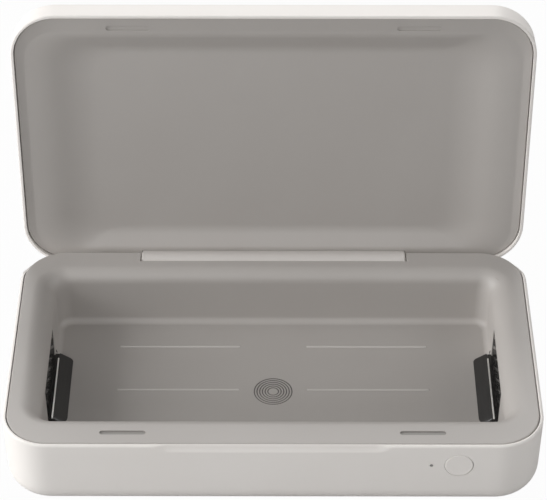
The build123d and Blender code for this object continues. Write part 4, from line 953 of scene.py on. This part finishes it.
def fold(rise, slope, radius):
    """How far in the recess's skin lies once it has risen: an arc, a straight slope, an arc."""
    if rise > RECESS_RISE / 2:
        return slope - fold(RECESS_RISE - rise, slope, radius)
    lean = math.atan2(RECESS_RISE, slope)
    if rise > radius * (1 - math.cos(lean)):
        return rise / math.tan(lean)
    return math.sqrt(radius ** 2 - (radius - rise) ** 2) - radius * math.tan(lean / 2)


def recess_rings(base, soft_x, soft_y):
    """Rings of the recess above a base height, from its mouth inwards."""
    made = []
    for step in range(FOLD_STEPS + 1):
        share = (1 - math.cos(math.pi * step / FOLD_STEPS)) / 2
        rise = RECESS_RISE * share
        ring = outline(RECESS[0] - fold(rise, SLOPE_X, soft_x), RECESS[1] - fold(rise, SLOPE_Y, soft_y),
                       RECESS[2] + (BOTTOM_CORNER - RECESS[2]) * share, base + rise, TRAY_COLUMNS)
        made.append([point + Vector((0, RECESS_BACK, 0)) for point in ring])
    return made


SKIRT_TOP = CEILING - (LID_EDGE - WALL)
lining_edge = soften([(SKIRT_WALL, BAND_TOP, 0), (SKIRT_WALL, SKIRT_TOP, 0), (0, SKIRT_TOP, 0),
                      (0, BAND, 0.5), (6, BAND, 0)])[:-1]
edge_rings = rings(TRAY_X, TRAY_Y, TRAY_CORNER, lining_edge, TRAY_COLUMNS)
for ring in edge_rings[3:]:
    for point in ring:
        point.z -= BAND_DISH * min(max((AXIS_Y - point.y) / DISH_RUN, DISH_LEAST), 1)
lining_rings = recess_rings(BAND_TOP, SOFT_BEHIND, SOFT_BEHIND)[::-1] + edge_rings
lining_rings += recess_rings(BAND, SOFT_X, SOFT_Y)
lining = loft("lid_lining", lining_rings)
print("rings in the lining:", len(lining_rings))

# %% Cut the lining and swing it open
LID_DIMPLE_Y = -57.2
lining_cuts = [pill(19.0, 2.3, side * DIMPLE[0], LID_DIMPLE_Y, BAND - 1, BAND + 0.45) for side in SIDES]
lining_cuts.append(block((-NOTCH_HALF, 58.6, BAND - 2), (NOTCH_HALF, OUT, LID_TOP)))
combine(lining, lining_cuts, "DIFFERENCE")
lining.data.transform(swing_open)
dress(lining, grey_moulding, "lid", "lid_liner")

# %% [markdown]
# ## The hinge bar
# One long moulding carries the lid: a round bar with a steel pin in each end, a neck that rises
# out of the casing and a flange that is screwed to the lid. Its rear is cut flat, so that the
# shut box is flush behind.

# %% The hinge bar
BAR = 7.3
BAR_HALF = 60.0
BAR_END = 0.5
FLAT = (AXIS_Y + 0.3, AXIS_Z + 0.4)
NECK_FRONT = 58.7
FLANGE_FRONT = 55.2
FLANGE_LOW = 43.2
BUSH_DEPTH = 8.0
turned_bar = soften([(0.5, 0, 0), (BAR, 0, BAR_END), (BAR, 2 * BAR_HALF, BAR_END), (0.5, 2 * BAR_HALF, 0)])
hinge_bar = turned("hinge_bar", turned_bar, (-BAR_HALF, AXIS_Y, AXIS_Z), (1, 0, 0), steps=128)
past_end = BAR_HALF + 2
back_cuts = [block((-past_end, HALF_Y, 10), (past_end, HALF_Y + 20, 50)),
             block((-past_end, FLAT[0], 10), (past_end, HALF_Y + 20, FLAT[1]))]
combine(hinge_bar, back_cuts, "DIFFERENCE")
bar_core = drill(2.95, (-BAR_HALF, AXIS_Y, AXIS_Z), (BAR_HALF, AXIS_Y, AXIS_Z))
neck = block((-BAR_HALF, NECK_FRONT, AXIS_Z + 5), (BAR_HALF, FLAT[0], FLANGE_TOP))
flange = block((-BAR_HALF, FLANGE_FRONT, FLANGE_LOW), (BAR_HALF, FLAT[0], FLANGE_TOP))
combine(hinge_bar, [bar_core, neck, flange], "UNION")
bush_end = BAR_HALF - BUSH_DEPTH
bores = [drill(2.23, (side * bush_end, AXIS_Y, AXIS_Z), (side * (BAR_HALF + 1), AXIS_Y, AXIS_Z))
         for side in SIDES]
bores += drills(0.85, LID_SCREWS, FLANGE_LOW - 0.2, FLANGE_TOP + 0.3)
combine(hinge_bar, bores, "DIFFERENCE")
hinge_bar.data.transform(swing_open)
dress(hinge_bar, bar_moulding, "lid", "hinge_barrel")

# %% [markdown]
# ## The push button
# The button is a thin white cap with a faintly dished face, a flange behind the wall that keeps
# it from falling out, and a short stem that presses the switch.

# %% The push button
CAP = 5.9
CAP_FRONT = -64.02
CAP_FLANGE = 7.4
FLANGE_SPAN = (2.44, 3.14)
STEM = (2.0, 5.14)
cap_section = soften([(0.5, 0.15, 0), (4.2, 0.1, 3), (CAP, 0, 0.4), (CAP, FLANGE_SPAN[0], 0),
                      (CAP_FLANGE, FLANGE_SPAN[0], 0.15), (CAP_FLANGE, FLANGE_SPAN[1], 0.15),
                      (STEM[0], FLANGE_SPAN[1], 0.2), (*STEM, 0.2), (0.5, STEM[1], 0)])
push_button = turned("push_button", cap_section, (BUTTON_X, CAP_FRONT, BUTTON_Z), (0, 1, 0), steps=96)
dress(push_button, white_moulding, "button", "button_cap", sharp=40)

# %% [markdown]
# ## The lamp guards
# Behind each end wall of the chamber sits a lamp, guarded by a black lattice of crossing bars.
# Two rows of leaning bars are grown from a line of points, cut to the window and joined to a
# frame. A sloping sill leads from the lattice down to the floor.


# %% Grow the leaning bars of the lattice
LEAN = 52
PLATE_NEAR = CHAMBER[0] + 0.4
PLATE_THICK = 0.9
GUARD_Y = 21.7
GUARD_Z = (11.1, 27.5)
GUARD_FRAME = 1.2


def leaning_bars(lean):
    """A row of bars across the window, all leaning one way."""
    sizes = {"Count": 16, "Pitch": 7.2 * MM, "Bar": 1.3 * MM, "Thick": PLATE_THICK * MM,
             "Long": 34.0 * MM, "Lean": math.radians(lean), "Middle": sum(GUARD_Z) / 2 * MM,
             "Plate": (PLATE_NEAR + PLATE_THICK / 2) * MM}
    tree = Growth("leaning_bars", **sizes)
    start = tree.size("Pitch") * (tree.size("Count") - 1) / -2
    line = tree.node("GeometryNodeMeshLine", None, {
        "Count": tree.size("Count"), "Offset": tree.vector(y=tree.size("Pitch")),
        "Start Location": tree.vector(tree.size("Plate"), start, tree.size("Middle"))})
    bar = tree.node("GeometryNodeMeshCube", None, {
        "Size": tree.vector(tree.size("Thick"), tree.size("Bar"), tree.size("Long"))})
    placed = tree.copies(line, bar, Rotation=tree.vector(x=tree.size("Lean")))
    return tree.grow("bars", placed, black_moulding)


# %% Build the right-hand guard
PLATE_FAR = PLATE_NEAR + PLATE_THICK
frame_stack = []
for half, z_low, z_high in ((GUARD_Y, *GUARD_Z),
                            (GUARD_Y - GUARD_FRAME, GUARD_Z[0] + GUARD_FRAME, GUARD_Z[1] - GUARD_FRAME)):
    flat = ((-half, z_low), (half, z_low), (half, z_high), (-half, z_high))
    pair = [[Vector((x, y, z)) for y, z in flat] for x in (PLATE_NEAR, PLATE_FAR)]
    frame_stack += pair if not frame_stack else pair[::-1]
guard = loft("lamp_guard", frame_stack, endless=True)
window = ((PLATE_NEAR - 1, -GUARD_Y + 0.6, GUARD_Z[0] + 0.6),
          (PLATE_FAR + 1, GUARD_Y - 0.6, GUARD_Z[1] - 0.6))
lattice = [combine(leaning_bars(lean), [block(*window)], "INTERSECT") for lean in (-LEAN, LEAN)]
combine(guard, lattice, "UNION")
print("lattice and frame:", len(guard.data.polygons), "faces")

# %% Add its sill, whose front draws back towards both ends
SILL_BACK = 96.0
SILL_TOP = 12.3
SHELF = 12.0
FRONT_END = ((0, 4.2), (0.3, 2.9), (0.9, 1.7), (1.7, 0.8), (2.8, 0.2), (4.0, 0))
REAR_END = ((1.8, 0), (0.9, 0.35), (0.3, 1.1), (0, 2.2))
low = FLOOR + 0.02
buried = PLATE_FAR - 0.2
sill_stack = []
for y, retreat in [*FRONT_END, *((2 * SILL_HALF - back, retreat) for back, retreat in REAR_END)]:
    front = SILL_FRONT + retreat
    flat = ((front, low), (buried, low), (buried, SHELF), (SILL_BACK, SHELF), (SILL_BACK, SILL_TOP),
            (SILL_BACK - 0.3, SILL_TOP), (front, FLOOR + 0.4 + retreat * 0.4))
    sill_stack.append([Vector((x, y - SILL_HALF, z)) for x, z in flat])
combine(guard, [loft("tool", sill_stack)], "UNION")
soft_edges(guard, 0.25)
print("guard:", len(guard.data.polygons), "faces")

# %% Place both guards
mirrored_guard = show("lamp_guard_lattice_left", guard.data.copy())
mirrored_guard.data.transform(Matrix.Scale(-1, 4, (1, 0, 0)))
mirrored_guard.data.flip_normals()
guard.name = "lamp_guard_lattice_right"
dress(guard, black_moulding, "base", "lamp_guard_right")
dress(mirrored_guard, black_moulding, "base", "lamp_guard_left")

# %% [markdown]
# A thin bright strip lies along the top of each sill. Its edges are broken by a small bevel, and
# it catches the light from one end to the other.

# %% The bright strips
STRIP_X = (96.0, 96.7)
STRIP_Y = (-21.2, 18.2)
STRIP_Z = (SHELF, SHELF + 0.4)
strips = side_blocks(*STRIP_X, (STRIP_Y[0], STRIP_Z[0]), (STRIP_Y[1], STRIP_Z[1]))
for strip, name in zip(strips, ("right", "left")):
    strip.name = "lamp_strip_" + name
    soft_edges(strip, 0.12)
    dress(strip, brushed_trim, "base", "lamp_trim_" + name)

# %% [markdown]
# ## Screws and winding
# One cross-head screw is turned and cut, and a geometry tree sets four of them under the casing.
# The charging coil is a flat spiral of enamelled wire: a spiral curve with a round wire carried
# along it.

# %% Case screws
HEAD_HEIGHT = 1.6
SHANK = 1.2
TIP = 13.6
CROSS = (1.3, 0.25)
screw_section = soften([(0.3, 0.1, 0), (1.9, 0, 0.3), (2.4, 0.7, 0.3), (2.4, HEAD_HEIGHT, 0),
                        (SHANK, HEAD_HEIGHT, 0), (SHANK, TIP - 0.4, 0.1), (0.8, TIP, 0.1), (0.2, TIP, 0)])
screw = turned("screw", screw_section, (0, 0, 0), (0, 0, 1), steps=48)
combine(screw, [block((-x, -y, -1), (x, y, 0.9)) for x, y in (CROSS, CROSS[::-1])], "DIFFERENCE")
rows = Growth("case_screws", Across=2 * CASE_SCREW[0] * MM, Deep=2 * CASE_SCREW[1] * MM,
              Lift=(HEAD_SEAT - HEAD_HEIGHT) * MM, Screw=screw)
one = rows.node("GeometryNodeObjectInfo", None, {"Object": rows.size("Screw")}, output="Geometry")
four = rows.copies(rows.grid(rows.size("Across"), rows.size("Deep"), 2, 2), one)
four = rows.moved(four, z=rows.size("Lift"))
cross_head_screws = rows.grow("cross_head_screws", four, steel)
bpy.data.objects.remove(screw)
dress(cross_head_screws, steel, "base", "case_screws")

# %% Charging coil
winding = Growth("coil_winding", Inner=10.6 * MM, Outer=21.4 * MM, Wire=0.56 * MM, Turns=9.0,
                 Lift=6.4 * MM)
spiral = winding.node("GeometryNodeCurveSpiral", None, {
    "Resolution": 64, "Rotations": winding.size("Turns"), "Start Radius": winding.size("Inner"),
    "End Radius": winding.size("Outer"), "Height": 0.0})
wire = winding.node("GeometryNodeCurvePrimitiveCircle", None, {
    "Resolution": 10, "Radius": winding.size("Wire")})
wound = winding.node("GeometryNodeCurveToMesh", None, {
    "Curve": spiral, "Profile Curve": wire, "Fill Caps": True})
coil = winding.grow("charging_winding", winding.moved(wound, z=winding.size("Lift")), copper)
dress(coil, copper, "base", "charger_coil", sharp=60)

# %% [markdown]
# ## Parts that keep their engineering mesh
# Boards, magnets, cables, the socket, and the lamps behind their guards have the right shape
# already. They only get their finish here.

# %% Finish the carried-over nodes
kept = {
    nickel: ("latch_magnets", "lid_magnets", "sensor_magnet"),
    steel: ("hinge_pins", "board_screws", "usb_socket", "hinge_screws"),
    ferrite: ("ferrite_sheet",),
    board_mask: ("main_board", "power_board", "button_board"),
    chip_epoxy: ("board_components", "tact_switch", "lid_sensor", "switch_plunger"),
    insulation: ("power_cable", "button_ribbon", "lamp_cable_left", "lamp_cable_right"),
    black_moulding: ("usb_tongue", "lamp_housing_left", "lamp_housing_right"),
    ceramic: ("status_led", "lamp_caps_left", "lamp_caps_right"),
    smoky_guide: ("light_pipe",),
    mirror: ("lamp_reflector_left", "lamp_reflector_right"),
    quartz: ("lamp_tube_left", "lamp_tube_right"),
    acetal: ("hinge_bushes",),
}
for finish, names in kept.items():
    for name in names:
        data = frame["nodes"][name].data
        data.materials.clear()
        data.materials.append(finish.material)
print("carried over:", sum(len(names) for names in kept.values()), "nodes")

# %% [markdown]
# ## The stage
# The box stands on a plain white floor. Seen by the camera the floor is mostly its own white,
# with a share of real light, so the box keeps a soft shadow.

# %% Floor and surroundings
OWN_WHITE = 0.97
AMBIENT = 0.07
floor_paint = Finish("floor_paint", Roughness=0.9)
speck = floor_paint.noise(60.0)
floor_paint.set(Base_Color=floor_paint.between(speck, (0.49, 0.49, 0.49, 1), (0.51, 0.51, 0.51, 1)))
seen = floor_paint.node("ShaderNodeLightPath", output="Is Camera Ray")
glow = floor_paint.node("ShaderNodeEmission", None, {"Color": (1, 1, 1, 1), "Strength": 1.0}, output=0)
shader_out = Wire(floor_paint, floor_paint.shader.outputs[0])
mixed = floor_paint.node("ShaderNodeMixShader", None, {0: seen * OWN_WHITE, 1: shader_out, 2: glow})
floor_paint.links.new(mixed.socket, floor_paint.nodes["Material Output"].inputs[0])

FLOOR_HALF = 3000.0
FLOOR_CORNER = 400.0
floor = loft("studio_floor", [outline(FLOOR_HALF, FLOOR_HALF, FLOOR_CORNER, z) for z in (-10.0, 0.0)])
floor.data.materials.append(floor_paint.material)

world = bpy.data.worlds.new("studio")
bpy.context.scene.world = world
world.use_nodes = True
sky = Tree(world.node_tree)
light_path = sky.nodes.new("ShaderNodeLightPath")
direct = Wire(sky, light_path.outputs["Is Camera Ray"]) + Wire(sky, light_path.outputs["Is Glossy Ray"])
direct = direct + Wire(sky, light_path.outputs["Is Transmission Ray"])
background = sky.nodes["Background"]
background.inputs["Color"].default_value = (1, 1, 1, 1)
sky.feed(background.inputs["Strength"], AMBIENT + (1 - AMBIENT) * direct)
print("white surroundings, ambient strength", AMBIENT)

# %% [markdown]
# A large soft lamp stands low at the left, a weaker one at the right, and one behind and above the
# lid. Two faint ones, in front and at the front left, lift the front wall. The white floor fills in
# from below.

# %% The lamps
LAMP_DISTANCE = 2.0
LAMPS = (("left", (-0.92, -0.1, 0.34), 1.4, 38.0),
         ("front_left", (-0.6, -0.6, 0.5), 1.0, 6.0),
         ("right", (0.88, -0.1, 0.46), 1.3, 9.5),
         ("behind", (0.0, 0.7, 0.7), 1.0, 19.0),
         ("front", (0.0, -0.82, 0.57), 1.0, 8.0))
for name, toward, width, power in LAMPS:
    lamp = bpy.data.lights.new("lamp_" + name, "AREA")
    lamp.shape = "SQUARE"
    lamp.size = width
    lamp.energy = power
    stand = show("lamp_" + name, lamp)
    stand.location = Vector(toward).normalized() * LAMP_DISTANCE
    stand.rotation_euler = Vector(toward).to_track_quat("Z", "Y").to_euler()
print("lamps:", ", ".join(f"{name} {power:.0f} W" for name, toward, width, power in LAMPS))

# %% [markdown]
# The camera was solved from the lines of the two rims. It looks down by about 42 degrees from the
# front, and its shift moves the picture up without tilting it.

# %% The camera
VIEW_FROM = Vector((1.7, -730.2, 682.6))
LOOK_DOWN = 41.82
LOOK_ASIDE = 0.121
optics = bpy.data.cameras.new("camera")
optics.sensor_width = 36.0
optics.lens = 147.26
optics.shift_y = 0.1957
optics.clip_end = 50.0
camera = show("camera", optics)
camera.location = VIEW_FROM * MM
camera.rotation_euler = (math.radians(90 - LOOK_DOWN), 0, math.radians(LOOK_ASIDE))
bpy.context.scene.camera = camera
bpy.context.scene.view_settings.view_transform = "Standard"
print(f"the camera stands {VIEW_FROM.length:.0f} mm from the origin")
